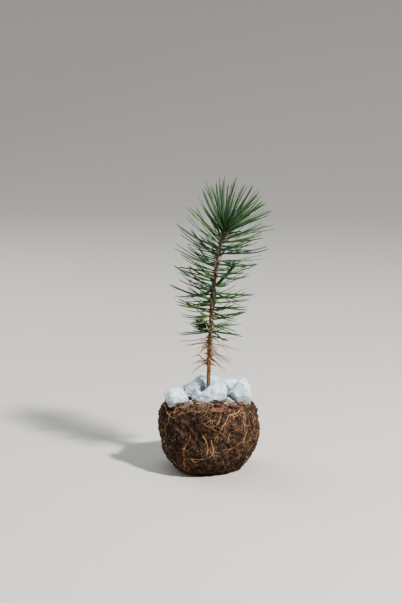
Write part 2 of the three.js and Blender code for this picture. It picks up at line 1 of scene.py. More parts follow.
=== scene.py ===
"""A young pine on its root ball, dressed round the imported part.

Lengths are in millimetres, as in the part's source, and become metres when a mesh is made.
Heights on the stem are measured up from the ground level at its foot.
"""
import math

import bmesh
import bpy
import numpy as np
from mathutils import Matrix, Vector, noise


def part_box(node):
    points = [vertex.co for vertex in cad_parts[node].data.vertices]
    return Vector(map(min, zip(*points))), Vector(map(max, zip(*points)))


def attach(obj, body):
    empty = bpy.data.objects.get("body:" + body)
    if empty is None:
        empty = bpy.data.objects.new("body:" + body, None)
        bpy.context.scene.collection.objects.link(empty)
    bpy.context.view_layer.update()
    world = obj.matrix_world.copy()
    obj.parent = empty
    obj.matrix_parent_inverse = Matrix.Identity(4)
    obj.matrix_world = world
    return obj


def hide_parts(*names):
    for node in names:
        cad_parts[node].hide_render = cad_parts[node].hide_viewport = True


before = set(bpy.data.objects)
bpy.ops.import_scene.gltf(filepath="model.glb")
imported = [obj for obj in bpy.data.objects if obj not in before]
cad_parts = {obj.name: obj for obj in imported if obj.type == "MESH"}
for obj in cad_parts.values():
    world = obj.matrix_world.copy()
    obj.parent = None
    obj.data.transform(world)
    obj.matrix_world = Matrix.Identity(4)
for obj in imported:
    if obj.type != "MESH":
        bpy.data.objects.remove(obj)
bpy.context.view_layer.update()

MM = 0.001
CLEARANCE = 0.3

# The root ball.
BALL_HEIGHT = 84
BALL_WAIST = 48
BALL_RADIUS = 57
BALL_FOOT_RADIUS = 35
BALL_TOP_POWER = 4
BALL_FOOT_POWER = 2.3
# Waves that make the ball uneven: lobes, share, phase, twist.
BALL_WAVES = [(2, 0.018, 0.7, 40), (3, 0.024, 2.1, -30), (5, 0.016, 4.4, 17)]

# The stem.
GROUND = BALL_HEIGHT + CLEARANCE
STEM_HEIGHT = 203
STEM_LEAN = 0.03
STEM_BEND = 14.7
STEM_BEND_POWER = 4
STEM_SWAY = 2.2
STEM_FOOT_RADIUS = 2.35
STEM_NECK_RADIUS = 1.55
FLARE = 1.3
FLARE_FADE = 5
BUD_LENGTH = 9
BUD_RADIUS = 1.9

# Needles: each table gives a value at some heights on the stem, with straight lines between.
# RISE is in degrees off square to the stem, CURL in degrees gained towards the tip.
RISE = [(40, -24), (74, -4), (110, 1), (150, 6), (178, 15), (192, 31)]
CURL = [(40, -20), (74, 4), (110, 15), (150, 18), (178, 16), (192, 8)]
LENGTH = [(40, 24), (74, 36), (95, 43), (130, 48), (170, 52), (192, 57)]
SPACING = [(40, 2.7), (74, 1.8), (110, 1.5), (150, 1.35), (178, 1.15), (192, 0.9)]
NEEDLE_RADIUS = 0.62
NEEDLE_ROOT = 0.66
TWIN_LOSS = 0.06
GOLDEN_ANGLE = math.radians(137.508)
AZIMUTH_JITTER = 16
HEIGHT_JITTER = 0.8
RISE_JITTER = 7
CURL_JITTER = 10
LENGTH_JITTER = 0.13
PAIR_SPREAD = (3, 9)
PAIR_TILT = 2.5
SHEATH_ROOM = 1.1
DRAWS = 8
ROOM_POINTS = 10
ATTEMPTS = 8
TIER_EDGES = [74, 92, 110, 128, 146, 163, 179, 192]
TIER_SEED = 4711
DRY_EDGES = (40, 73)
DRY_SEED = 97
FOLIAGE_FLOOR = 26
FILL_SEED = 9000
TUFT_PAIRS = 48
TUFT_LENGTH = 57
TUFT_LOW = 193.2
TUFT_HIGH = 199.5
TUFT_WIDEST = 53
TUFT_JITTER = 3
TUFT_CURL = (-4, 10)
TUFT_SPREAD = 1.5
TUFT_ROOT = 0.75
TUFT_SEED = 1203

# Side shoots: name, height, azimuth, rise, twig, pairs, length, fan.
SHOOTS = [
    ("shoot_right", 130, -18, 46, 13, 10, 30, 13),
    ("shoot_left", 76, 172, 30, 9, 10, 18, 34),
    ("shoot_back", 101, 84, 38, 12, 9, 24, 20),
]
SHOOT_SEED = 21
SHOOT_RADIUS = 0.95
SHOOT_TIP_RADIUS = 0.7
SHOOT_ROOM = 2.2
SHOOT_CORE = 0.22
SHOOT_NARROWEST = 0.25
SHOOT_OPENINGS = (0.8, 1.2)
SHOOT_LEAN = (0.2, 0.7)
SHOOT_CURL = 3
SHOOT_LIFTS = (7, 3, 4)
TWIG_CLOTHED = (0.12, 1.0)
TWIG_LEAN = 0.3
TWIG_CURL = 12
# Where a shoot takes the place of needles: below and above its foot, and how far round the stem.
SHOOT_BELOW, SHOOT_ABOVE, SHOOT_ASIDE = -3, 20, 0.25
# How wide each shoot's brush opens, then the opening, reach and number of the pairs on its twig.
SHOOT_HABITS = [
    (0.4, (3, 9), (0.5, 0.95), 16),
    (1.3, (14, 50), (0.6, 1.1), 22),
    (0.7, (8, 20), (0.45, 0.85), 12),
]

# The dead twig and the spur that leaves it at a share of its length.
DEAD_TWIG = dict(height=36, azimuth=176, rise=48, length=19, radii=(0.85, 0.45))
DEAD_SPUR = dict(share=0.56, azimuth=196, rise=-16, length=13, radii=(0.85, 0.5))

# Stones: name, place, half sizes, turn, tilt, sink, seed.
STONES = [
    ("stone_back", (-2, 20), (29, 14.5, 16.5), 6, -3, 3, 301),
    ("stone_front", (-1, -17.5), (27, 12, 13.5), -5, -20, 3.5, 302),
    ("stone_tall", (38, -10), (13, 13, 17.5), 18, -12, 5, 303),
    ("stone_left", (-37.5, -17), (17.5, 14.5, 12), 14, 8, 4, 304),
    ("stone_small", (-19.5, 0), (11.5, 6, 8.5), -14, 4, 2, 305),
    ("stone_rear", (26, 37), (13.5, 11, 10.5), 60, 5, 4, 306),
]
STONE_FACETS = 13
FACET_DEPTH = (0.64, 0.86)
FACET_JITTER = 0.5
STONE_SINK_SHARE = 0.76

# Bark chips.
CHIP_COUNT = 22
CHIP_LENGTH = (15, 27)
CHIP_WIDTH = (8, 13)
CHIP_THICKNESS = (3.5, 7)
CHIP_TILT = 14
CHIP_SINK = 1.5
CHIP_CORNERS = 7
CHIP_RING = (8, 50)
CHIP_SEED = 58
CHIP_TRIES = 9000
CHIP_SHRINK = 0.5
CHIP_ROOM = 0.56
CHIP_SPOTS = (-0.34, 0, 0.34)
CHIP_RIM = 3
CORNER_JITTER = 0.35
CORNER_DEPTH = (0.84, 1)
STONE_SPOTS = (-0.85, 0, 0.85)
STONE_ROOM = 0.97
STEM_FOOT_ROOM = 6

# The photograph's view of the seedling.
CAMERA_AIM = (-8.05, 0, 197.8)
CAMERA_DISTANCE = 1733
CAMERA_ELEVATION = 12
CAMERA_LENS = 90
CAMERA_SIGHT = 20


def radians(degrees):
    return degrees * math.pi / 180


def within(limits, share):
    return limits[0] + (limits[1] - limits[0]) * share


def either(share):
    return 2 * share - 1


def unit(vectors):
    return vectors / np.linalg.norm(vectors, axis=-1, keepdims=True)


def seeded(seed):
    """The same repeatable random source as the part's source."""
    mask = 0xFFFFFFFF
    state = seed & mask

    def draw():
        nonlocal state
        state = (state + 0x6D2B79F5) & mask
        mixed = (state ^ (state >> 15)) * (state | 1) & mask
        mixed ^= (mixed + ((mixed ^ (mixed >> 7)) * (mixed | 61) & mask)) & mask
        return ((mixed ^ (mixed >> 14)) & mask) / 4294967296

    return draw


def along(table, height):
    heights, values = zip(*table)
    return np.interp(height, heights, values)


# The rule by which the plant grows.


def stem_at(height):
    """The stem's middle line."""
    share = height / STEM_HEIGHT
    x = STEM_LEAN * height + STEM_BEND * share**STEM_BEND_POWER
    return np.stack([x, STEM_SWAY * np.sin(math.pi * share), GROUND + height], -1)


def stem_direction(height):
    share = height / STEM_HEIGHT
    x = STEM_LEAN + STEM_BEND * STEM_BEND_POWER * share ** (STEM_BEND_POWER - 1) / STEM_HEIGHT
    y = STEM_SWAY * math.pi * np.cos(math.pi * share) / STEM_HEIGHT
    return unit(np.stack([x, y, np.ones_like(share)], -1))


def stem_radius(height):
    bud_foot = STEM_HEIGHT - BUD_LENGTH
    share = np.clip((height - bud_foot) / BUD_LENGTH, 0, 1)
    girth = STEM_NECK_RADIUS + (BUD_RADIUS - STEM_NECK_RADIUS) * np.minimum(1, 4 * share)
    bud = np.sqrt(1 - share**2) * girth
    taper = STEM_FOOT_RADIUS + (STEM_NECK_RADIUS - STEM_FOOT_RADIUS) * height / bud_foot
    return np.where(height > bud_foot, bud, taper + FLARE * np.exp(-height / FLARE_FADE))


def square_to(direction, azimuth):
    """Unit vectors square to a line: the one nearest to an azimuth, and the one beside it."""
    flat = np.array([math.cos(azimuth), math.sin(azimuth), 0.0])
    out = unit(flat - direction * flat.dot(direction))
    return out, np.cross(direction, out)


class Arc:
    """A needle's middle line, which leaves at one rise and ends at another."""

    def __init__(self, start, out, axis, length, rise, curl):
        self.start, self.out, self.axis, self.length, self.rise = start, out, axis, length, rise
        self.curl = 1e-3 if abs(curl) < 1e-3 else curl
        self.beside = unit(np.cross(axis, out))

    def points(self, t):
        turn = self.rise + self.curl * t
        forward = self.length * (np.sin(turn) - math.sin(self.rise)) / self.curl
        climb = self.length * (math.cos(self.rise) - np.cos(turn)) / self.curl
        return self.start + np.outer(forward, self.out) + np.outer(climb, self.axis)

    def directions(self, t):
        turn = self.rise + self.curl * t
        return np.outer(np.cos(turn), self.out) + np.outer(np.sin(turn), self.axis)


def twins(foot, out, beside, lean, axis, length, loss, rise, curl, tilt=0.0):
    """Two needles from one foot that lean apart, the second a little shorter than the first."""
    return [
        Arc(
            foot, unit(out + beside * side * lean), axis,
            length * (1 - loss * (side > 0)), rise + side * tilt, curl,
        )
        for side in (-1, 1)
    ]


def pair_at(height, azimuth, draw, share=1.0):
    at = height + either(draw[1]) * HEIGHT_JITTER
    direction = stem_direction(at)
    rise = radians(along(RISE, at) + either(draw[2]) * RISE_JITTER)
    curl = radians(along(CURL, at) + either(draw[3]) * CURL_JITTER)
    length = along(LENGTH, at) * (1 + either(draw[4]) * LENGTH_JITTER) * share
    spread = radians(within(PAIR_SPREAD, draw[5])) / 2
    tilt = radians(either(draw[6]) * PAIR_TILT)
    turn = azimuth + radians(either(draw[0]) * AZIMUTH_JITTER)
    pair = []
    for side in (-1, 1):
        out, _ = square_to(direction, turn + side * spread)
        start = stem_at(at) + out * (stem_radius(at) + NEEDLE_ROOT)
        own = length * (1 - TWIN_LOSS * (draw[7] if side > 0 else 0))
        pair.append(Arc(start, out, direction, own, rise + side * tilt, curl))
    return pair


def height_over(points, edge):
    """Height over the surface that parts two tiers, which spreads from the stem as its needles do."""
    direction = stem_direction(edge)
    offset = points - stem_at(edge)
    climb = offset @ direction
    reach = np.sqrt(np.maximum(0, (offset**2).sum(-1) - climb**2))
    rise, curl = radians(along(RISE, edge)), radians(along(CURL, edge))
    bend = curl * reach**2 / (2 * along(LENGTH, edge) * math.cos(rise) ** 3)
    return climb - reach * math.tan(rise) - bend


def limb_line(height, azimuth, rise):
    """Where a side limb leaves the stem's middle, and its direction."""
    direction = stem_direction(height)
    out, _ = square_to(direction, radians(azimuth))
    return stem_at(height), out * math.cos(radians(rise)) + direction * math.sin(radians(rise))


def measured_from(points, start, line):
    """How far points lie along a line, and away from it."""
    offset = points - start
    forward = offset @ line
    return forward, np.sqrt(np.maximum(0, (offset**2).sum(-1) - forward**2))


def clear_of_shoots(points):
    clear = np.ones(len(points), bool)
    for _, height, azimuth, rise, twig, _, length, fan in SHOOTS:
        forward, away = measured_from(points, *limb_line(height, azimuth, rise))
        room = SHOOT_ROOM + np.maximum(0, forward - twig) * math.tan(radians(fan)) + NEEDLE_RADIUS
        clear &= (forward < 0) | (forward > twig + length + SHOOT_ROOM) | (away > room)
    line = limb_line(DEAD_TWIG["height"], DEAD_TWIG["azimuth"], DEAD_TWIG["rise"])
    forward, away = measured_from(points, *line)
    room = SHOOT_ROOM + np.where(forward > DEAD_TWIG["length"] / 2, DEAD_SPUR["length"], 0)
    return (clear & ((forward < 0) | (forward > DEAD_TWIG["length"] + SHOOT_ROOM) | (away > room))).all()


def keeps_its_room(arc, low, high):
    margin = NEEDLE_RADIUS + CLEARANCE
    points = arc.points(np.arange(1, ROOM_POINTS + 1) / ROOM_POINTS)
    if (height_over(points, low) < margin).any():
        return False
    if high is not None and (height_over(points, high) > -margin).any():
        return False
    return clear_of_shoots(points) and (points[:, 2] >= GROUND + FOLIAGE_FLOOR).all()


def pairs_between(low, high, seed):
    """The pairs that grow between two heights, each turned on from the last by the golden angle."""
    random = seeded(seed)
    pairs = []
    azimuth = random() * 2 * math.pi
    height = low + SHEATH_ROOM
    while height < high - SHEATH_ROOM:
        for _ in range(ATTEMPTS):
            draw = [random() for _ in range(DRAWS)]
            arcs = pair_at(height, azimuth, draw)
            if all(keeps_its_room(arc, low, high) for arc in arcs):
                pairs.append(arcs)
                break
        azimuth += GOLDEN_ANGLE
        height += along(SPACING, height)
    return pairs


def by_a_shoot(height, azimuth):
    """Whether a place on the stem lies close to a side shoot, which stands in place of needles."""
    for _, middle, turn, *_ in SHOOTS:
        aside = math.cos(azimuth - radians(turn))
        if SHOOT_BELOW < height - middle < SHOOT_ABOVE and aside > SHOOT_ASIDE:
            return True
    return False


def filling_pairs(low, high, seed, spacing, loose, lengths=(0.6, 1.0)):
    """More pairs among the first ones, which wander further but reach no further."""
    random = seeded(seed + FILL_SEED)
    pairs = []
    azimuth = random() * 2 * math.pi
    height = low
    while height < high:
        draw = [0.5 + loose * (random() - 0.5) for _ in range(DRAWS)]
        draw[4] = random() / 2
        draw[7] = random()
        pair = pair_at(height, azimuth, draw, within(lengths, random()))
        high_enough = all(arc.points(np.array([1.0]))[0, 2] > GROUND + FOLIAGE_FLOOR for arc in pair)
        if high_enough and not by_a_shoot(height, azimuth):
            pairs.append(pair)
        azimuth += GOLDEN_ANGLE
        height += along(SPACING, height) * spacing
    return pairs


def tuft_pairs():
    """The pairs of the brush at the tip, which open out from the bud."""
    random = seeded(TUFT_SEED)
    widest = 1 - math.cos(radians(TUFT_WIDEST))
    pairs = []
    for i in range(TUFT_PAIRS):
        draw = [random() for _ in range(DRAWS)]
        share = (i + 0.5) / TUFT_PAIRS
        opening = math.acos(1 - widest * share) + radians(either(draw[2]) * TUFT_JITTER)
        height = TUFT_HIGH + (TUFT_LOW - TUFT_HIGH) * share
        azimuth = i * GOLDEN_ANGLE + radians(either(draw[0]) * AZIMUTH_JITTER)
        length = TUFT_LENGTH * (1 + either(draw[4]) * LENGTH_JITTER / 2)
        direction = stem_direction(STEM_HEIGHT)
        spread = radians(within(PAIR_SPREAD, draw[5])) / 2
        out, beside = square_to(direction, azimuth)
        start = stem_at(height) + out * (stem_radius(height) * TUFT_ROOT + CLEARANCE)
        pair = twins(
            start, out, beside, math.tan(spread) * TUFT_SPREAD, direction, length, TWIN_LOSS * draw[7],
            math.pi / 2 - opening, radians(within(TUFT_CURL, draw[3])),
            radians(either(draw[6]) * PAIR_TILT),
        )
        pairs.append([arc for arc in pair if keeps_its_room(arc, TIER_EDGES[-1], None)])
    return [pair for pair in pairs if pair]


def shoot_pairs(index):
    """The pairs of a side shoot's own small brush."""
    _, height, azimuth, rise, twig, count, length, fan = SHOOTS[index]
    start, line = limb_line(height, azimuth, rise)
    random = seeded(SHOOT_SEED + index)
    core = length * SHOOT_CORE
    wide = SHOOT_HABITS[index][0]
    pairs = []
    for i in range(count):
        draw = [random() for _ in range(DRAWS)]
        share = (i + 0.5) / count
        widest = wide * fan * within((SHOOT_NARROWEST, 1), share)
        opening = radians(widest * within(SHOOT_OPENINGS, draw[2]))
        forward = twig + 1 + core * (1 - share)
        turn = i * GOLDEN_ANGLE + radians(either(draw[0]) * AZIMUTH_JITTER)
        reach = (length - core * (1 - share) - 2) * (1 - draw[4] * LENGTH_JITTER * 2)
        out, beside = square_to(line, turn)
        foot = start + line * forward + out * SHOOT_RADIUS / 4
        pairs.append(twins(
            foot, out, beside, within(SHOOT_LEAN, draw[5]), line, reach, TWIN_LOSS * draw[7],
            math.pi / 2 - opening, radians(SHOOT_CURL * either(draw[3])),
        ))
    return pairs


def twig_pairs(index):
    """Pairs that clothe a side shoot's twig and lie close along it."""
    _, height, azimuth, rise, twig, _, length, _ = SHOOTS[index]
    _, openings, reaches, count = SHOOT_HABITS[index]
    start, line = limb_line(height, azimuth, rise)
    random = seeded(SHOOT_SEED + FILL_SEED + index)
    pairs = []
    for i in range(count):
        forward = twig * within(TWIG_CLOTHED, (i + random()) / count)
        out, beside = square_to(line, i * GOLDEN_ANGLE)
        opening = radians(within(openings, random()))
        reach = length * within(reaches, random())
        foot = start + line * forward + out * SHOOT_RADIUS
        pairs.append(twins(
            foot, out, beside, TWIG_LEAN, line, reach, 0, math.pi / 2 - opening, radians(TWIG_CURL),
        ))
    return pairs


def shoot_bent(points, index):
    """Points of a side shoot, whose far end lifts a little."""
    _, height, azimuth, rise, twig, _, length, _ = SHOOTS[index]
    start, line = limb_line(height, azimuth, rise)
    direction = stem_direction(height)
    lift = unit(direction - line * (direction @ line))
    share = np.clip((points - start) @ line / (twig + length), 0, 1)
    return points + np.outer(share**2 * SHOOT_LIFTS[index], lift)


def swell(reach, power):
    return (1 - (reach / BALL_RADIUS) ** power) ** (1 / power)


def ball_top(reach):
    return BALL_WAIST + (BALL_HEIGHT - BALL_WAIST) * swell(reach, BALL_TOP_POWER)


def chip_places():
    """Where the bark chips lie, drawn at random and kept where there is room."""
    random = seeded(CHIP_SEED)
    taken = [(0, 0, STEM_FOOT_ROOM)]
    for _, at, half, turn, *_ in STONES:
        for end in STONE_SPOTS:
            shift = end * (half[0] - half[1])
            x = at[0] + math.cos(radians(turn)) * shift
            y = at[1] + math.sin(radians(turn)) * shift
            taken.append((x, y, half[1] * STONE_ROOM))
    chips = []
    for i in range(CHIP_TRIES):
        if len(chips) == CHIP_COUNT:
            break
        draw = [random() for _ in range(DRAWS)]
        reach = within(CHIP_RING, math.sqrt(draw[0]))
        turn = draw[1] * 2 * math.pi
        shrink = 1 - CHIP_SHRINK * i / CHIP_TRIES
        length = within(CHIP_LENGTH, draw[2]) * shrink
        width = within(CHIP_WIDTH, draw[3]) * shrink
        x, y = reach * math.cos(turn), reach * math.sin(turn)
        heading = draw[4] * math.pi
        along_x, along_y = length * math.cos(heading), length * math.sin(heading)
        spots = [(x + end * along_x, y + end * along_y, width * CHIP_ROOM) for end in CHIP_SPOTS]
        inside = all(math.hypot(sx, sy) + sr < BALL_RADIUS - CHIP_RIM for sx, sy, sr in spots)
        if inside and all(
            math.hypot(sx - tx, sy - ty) > sr + tr for sx, sy, sr in spots for tx, ty, tr in taken
        ):
            taken += spots
            chips.append(dict(
                length=length, width=width, thickness=within(CHIP_THICKNESS, draw[5]), seed=CHIP_SEED + i,
                place=chip_matrix(x, y, reach, turn, heading, draw),
            ))
    return chips, taken


def chip_matrix(x, y, reach, turn, heading, draw):
    """The turns that lay a chip on the ball: those of the chip, then those of the ball's slope."""
    slope = math.atan((ball_top(reach - 1) - ball_top(reach + 1)) / 2)
    turns = [
        (turn, "Z"), (slope, "Y"), (-turn, "Z"), (heading, "Z"),
        (radians(either(draw[7]) * CHIP_TILT), "X"), (radians(either(draw[6]) * CHIP_TILT), "Y"),
    ]
    place = Matrix.Translation((x, y, ball_top(reach)))
    for angle, axis in turns:
        place = place @ Matrix.Rotation(angle, 4, axis)
    return place @ Matrix.Translation((0, 0, -CHIP_SINK))


# Tools for making meshes.


def in_scene(name, data):
    made = bpy.data.objects.new(name, data)
    bpy.context.scene.collection.objects.link(made)
    return made


class Pile:
    """Loose shapes that become one mesh, each with the finish that it wears."""

    def __init__(self):
        self.corners, self.faces, self.finishes, self.count = [], [], [], 0

    def add(self, corners, faces, finish=0):
        """Adds a shape. Its finish is one number, or one for each face."""
        self.finishes.append(np.broadcast_to(finish, sum(map(len, faces))))
        self.faces += [face_set + self.count for face_set in faces]
        self.corners.append(corners)
        self.count += len(corners)

    def add_many(self, shapes, faces, finishes):
        """Adds shapes that have the same faces, each with its own finish."""
        steps = self.count + np.arange(len(shapes))[:, None, None] * shapes.shape[1]
        self.faces.append((faces[None] + steps).reshape(-1, faces.shape[1]))
        self.finishes.append(np.repeat(finishes, len(faces)))
        self.corners.append(shapes.reshape(-1, 3))
        self.count += shapes.shape[0] * shapes.shape[1]

    def reshape(self, rule, *settings):
        self.corners = [rule(corners, *settings) for corners in self.corners]

    def piece(self, name, finishes, slot, nodes=(), crease=None):
        """The finished piece, which rides on the plant's one body."""
        mesh = bpy.data.meshes.new(name)
        corners = np.concatenate(self.corners) * MM
        loops = np.concatenate([faces.ravel() for faces in self.faces])
        sizes = np.concatenate([np.full(len(faces), faces.shape[1]) for faces in self.faces])
        mesh.vertices.add(len(corners))
        mesh.vertices.foreach_set("co", corners.ravel())
        mesh.loops.add(len(loops))
        mesh.loops.foreach_set("vertex_index", loops)
        mesh.polygons.add(len(sizes))
        mesh.polygons.foreach_set("loop_start", np.cumsum(sizes) - sizes)
        for finish in finishes:
            mesh.materials.append(finish.material)
        mesh.polygons.foreach_set("material_index", np.concatenate(self.finishes))
        mesh.polygons.foreach_set("use_smooth", np.ones(len(sizes), bool))
        mesh.update(calc_edges=True)
        if crease:
            mesh.set_sharp_from_angle(angle=radians(crease))
        made = in_scene(name, mesh)
        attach(made, "root")
        if nodes:
            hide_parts(*nodes)
        return made


def circle(sides):
    turn = np.arange(sides) * 2 * math.pi / sides
    return np.stack([np.cos(turn), np.sin(turn)], -1)


def ring_faces(rings, sides):
    """Faces between rings of corners, and fans to two more corners that close the end rings."""
    first = np.arange(sides)
    after = (first + 1) % sides
    steps = np.arange(rings - 1)[:, None] * sides
    walls = np.stack([steps + first, steps + after, steps + after + sides, steps + first + sides], -1)
    last = (rings - 1) * sides
    foot = np.stack([after, first, np.full(sides, rings * sides)], -1)
    head = np.stack([last + first, last + after, np.full(sides, rings * sides + 1)], -1)
    return [walls.reshape(-1, 4), foot, head]


def swept(line, across, above, widths, depths, profile):
    """A profile carried along a line, with its size at each place.

    Across, above and ahead are right-handed.
    """
    reach = across[:, None] * profile[None, :, :1] * np.reshape(widths, (-1, 1, 1))
    climb = above[:, None] * profile[None, :, 1:] * np.reshape(depths, (-1, 1, 1))
    corners = (line[:, None] + reach + climb).reshape(-1, 3)
    return np.concatenate([corners, line[:1], line[-1:]]), ring_faces(len(line), len(profile))


def carried(line):
    """Unit vectors across and above a line, carried along it without twisting."""
    ahead = unit(np.gradient(line, axis=0))
    guide = np.array([1.0, 0, 0]) if abs(ahead[0, 0]) < 0.8 else np.array([0, 1.0, 0])
    across = np.empty_like(ahead)
    for i, direction in enumerate(ahead):
        guide = unit(guide - direction * guide.dot(direction))
        across[i] = guide
    return across, np.cross(ahead, across)


def tube(line, radii, sides):
    across, above = carried(line)
    return swept(line, across, above, radii, radii, circle(sides))


def rough(points, size, octaves=2, shift=0.0):
    """Smooth noise between about -1 and 1, with lumps of a given size."""
    offset = Vector((shift, -shift, shift / 2))
    return np.array([noise.fractal(Vector(p) + offset, 1.0, 2.0, octaves) for p in points / size])


def clods(points, size):
    """Rounded lumps with creases between them, between about -0.5 and 0.5."""
    return np.array([0.45 - noise.voronoi(Vector(p), exponent=2.5)[0][0] for p in points / size])


# Tools for making finishes.

MIX_A, MIX_B, MIX_RESULT = 6, 7, 2


class Socket:
    """A shader value that maths can be written with."""

    def __init__(self, finish, output):
        self.finish, self.output = finish, output

    def maths(self, operation, first, second):
        return self.finish.node("ShaderNodeMath", {"operation": operation}, {0: first, 1: second})

    def __add__(self, other):
        return self.maths("ADD", self, other)

    def __sub__(self, other):
        return self.maths("SUBTRACT", self, other)

    def __rsub__(self, other):
        return self.maths("SUBTRACT", other, self)

    def __mul__(self, other):
        return self.maths("MULTIPLY", self, other)

    __radd__, __rmul__ = __add__, __mul__


class Finish:
    """A material. Patterns are measured in millimetres of the object's own space."""

    def __init__(self, name, **constants):
        self.material = bpy.data.materials.new(name)
        self.material.use_nodes = True
        self.tree = self.material.node_tree
        self.skin = self.tree.nodes["Principled BSDF"]
        self.put(constants)
        self.material.diffuse_color = self.skin.inputs["Base Color"].default_value[:]

    def put(self, values):
        """Sets the surface's sockets, by name with an underscore for each space."""
        for name, value in values.items():
            self.fill(self.skin.inputs[name.replace("_", " ")], value)

    def fill(self, socket, value):
        if isinstance(value, Socket):
            self.tree.links.new(value.output, socket)
        elif socket.type == "RGBA":
            socket.default_value = (*value[:3], 1)
        else:
            socket.default_value = value

    def node(self, kind, settings=None, values=None, output=0):
        made = self.tree.nodes.new(kind)
        for name, value in (settings or {}).items():
            if name == "stops":
                ramp = made.color_ramp
                while len(ramp.elements) < len(value):
                    ramp.elements.new(0.5)
                for element, (position, colour) in zip(ramp.elements, value):
                    element.position, element.color = position, (*colour, 1)
            else:
                setattr(made, name, value)
        for name, value in (values or {}).items():
            self.fill(made.inputs[name], value)
        return Socket(self, made.outputs[output])

    def place(self, stretch=(1, 1, 1)):
        """Millimetres in the object's space, squeezed by a stretch along each axis."""
        bare = self.node("ShaderNodeTexCoord", output=3)
        scale = [1 / (MM * s) for s in stretch]
        return self.node("ShaderNodeVectorMath", {"operation": "MULTIPLY"}, {0: bare, 1: scale})

    def height(self):
        return self.node("ShaderNodeSeparateXYZ", None, {0: self.place()}, output=2)

    def mottle(self, size, detail=3, stretch=(1, 1, 1)):
        """Cloudy noise from 0 to 1, with lumps of a given size."""
        values = {"Vector": self.place(stretch), "Scale": 1 / size, "Detail": detail, "Roughness": 0.6}
        return self.node("ShaderNodeTexNoise", None, values)

    def grains(self, size, feature="F1"):
        """Distance from the nearest of many scattered grains."""
        values = {"Vector": self.place(), "Scale": 1 / size}
        return self.node("ShaderNodeTexVoronoi", {"feature": feature}, values)

    def between(self, value, low, high):
        """0 below low and 1 above high, with a smooth step between."""
        values = {"Value": value, "From Min": low, "From Max": high}
        return self.node("ShaderNodeMapRange", {"interpolation_type": "SMOOTHSTEP"}, values)

    def mix(self, share, first, second):
        values = {0: share, MIX_A: first, MIX_B: second}
        return self.node("ShaderNodeMix", {"data_type": "RGBA"}, values, MIX_RESULT)

    def ramp(self, value, stops):
        return self.node("ShaderNodeValToRGB", {"stops": stops}, {"Fac": value})

    def bump(self, height, depth):
        bump = self.node("ShaderNodeBump", None, {"Height": height, "Distance": depth * MM})
        self.put({"Normal": bump})


# The colours of each family of finishes. The tints of the needles are dealt out by pair.

NEEDLES = [
    ("green", (0.041, 0.104, 0.032)),
    ("deep_green", (0.017, 0.048, 0.02)),
    ("blue_green", (0.028, 0.085, 0.044)),
    ("light_green", (0.095, 0.185, 0.05)),
    ("yellow_green", (0.145, 0.18, 0.045)),
    ("bloom", (0.105, 0.195, 0.125)),
    ("tip", (0.22, 0.15, 0.07), 0.6),
]
BLOOM, TIP_BROWN = 5, 6
SHEATHS = [
    ("brown", (0.12, 0.066, 0.046)),
    ("tan", (0.27, 0.18, 0.115)),
    ("pale", (0.33, 0.28, 0.255)),
    ("mauve", (0.15, 0.09, 0.088)),
    ("green", (0.085, 0.125, 0.065)),
]
STRAWS = [
    ("straw", (0.5, 0.35, 0.16)),
    ("brown", (0.16, 0.08, 0.038)),
    ("grey", (0.24, 0.175, 0.115)),
    ("pale", (0.62, 0.5, 0.32)),
]
BUDS = [("brown", (0.3, 0.13, 0.065)), ("pale", (0.42, 0.27, 0.2))]
ROOTS = [("brown", (0.19, 0.095, 0.05)), ("tan", (0.34, 0.21, 0.115)), ("pale", (0.5, 0.37, 0.23))]
FIBRES = [("tan", (0.36, 0.23, 0.13)), ("brown", (0.17, 0.09, 0.055))]
STICKS = [
    ("tan", (0.5, 0.34, 0.19), (0.27, 0.16, 0.08)),
    ("brown", (0.26, 0.15, 0.08), (0.12, 0.07, 0.04)),
]
DEAD_WOOD = [
    ("bark", (0.2, 0.1, 0.055), (0.09, 0.05, 0.03)),
    ("pale", (0.62, 0.46, 0.3), (0.34, 0.22, 0.13)),
]
CRUMBS = [
    ("dark", (0.015, 0.009, 0.007), (0.035, 0.021, 0.015), (0.07, 0.045, 0.03)),
    ("brown", (0.04, 0.022, 0.014), (0.08, 0.047, 0.03), (0.14, 0.09, 0.06)),
    ("red", (0.06, 0.027, 0.016), (0.11, 0.052, 0.032), (0.17, 0.1, 0.06)),
]
BARKS = [
    ("dark", (0.1, 0.052, 0.036), (0.055, 0.03, 0.023), (0.2, 0.12, 0.08)),
    ("red", (0.15, 0.072, 0.045), (0.085, 0.041, 0.028), (0.25, 0.15, 0.095)),
    ("grey", (0.17, 0.12, 0.095), (0.085, 0.055, 0.042), (0.28, 0.21, 0.16)),
]
# Colours of the stem's bark by share of its height, and of the stones by how dark their clouds are.
STEM_TONES = [
    (0.0, (0.065, 0.028, 0.014)), (0.03, (0.18, 0.068, 0.021)), (0.14, (0.2, 0.084, 0.026)),
    (0.22, (0.13, 0.07, 0.028)), (0.38, (0.105, 0.073, 0.03)), (0.53, (0.1, 0.07, 0.033)),
    (0.6, (0.06, 0.034, 0.026)), (0.72, (0.075, 0.031, 0.033)), (0.86, (0.12, 0.036, 0.046)),
    (0.97, (0.19, 0.075, 0.09)),
]
STONE_TONES = [
    (0.34, (0.275, 0.35, 0.405)), (0.44, (0.42, 0.53, 0.605)),
    (0.54, (0.555, 0.685, 0.775)), (0.68, (0.67, 0.805, 0.905)),
]


def family(make, prefix, table):
    """A finish for each row of a table."""
    return [make(f"{prefix}_{name}", *settings) for name, *settings in table]


def plain_finish(name, colour, shine, roughness, spread, lumps):
    """One colour, with its shine broken up by lumps of a given size."""
    made = Finish(name, Base_Color=colour, Specular_IOR_Level=shine)
    made.put({"Roughness": roughness + spread * made.mottle(lumps)})
    return made


def needle_finish(name, colour, roughness=0.42):
    return plain_finish(name, colour, 0.45, roughness, 0.22, 2.5)


def papery_finish(name, colour):
    return plain_finish(name, colour, 0.25, 0.62, 0.3, 1.2)


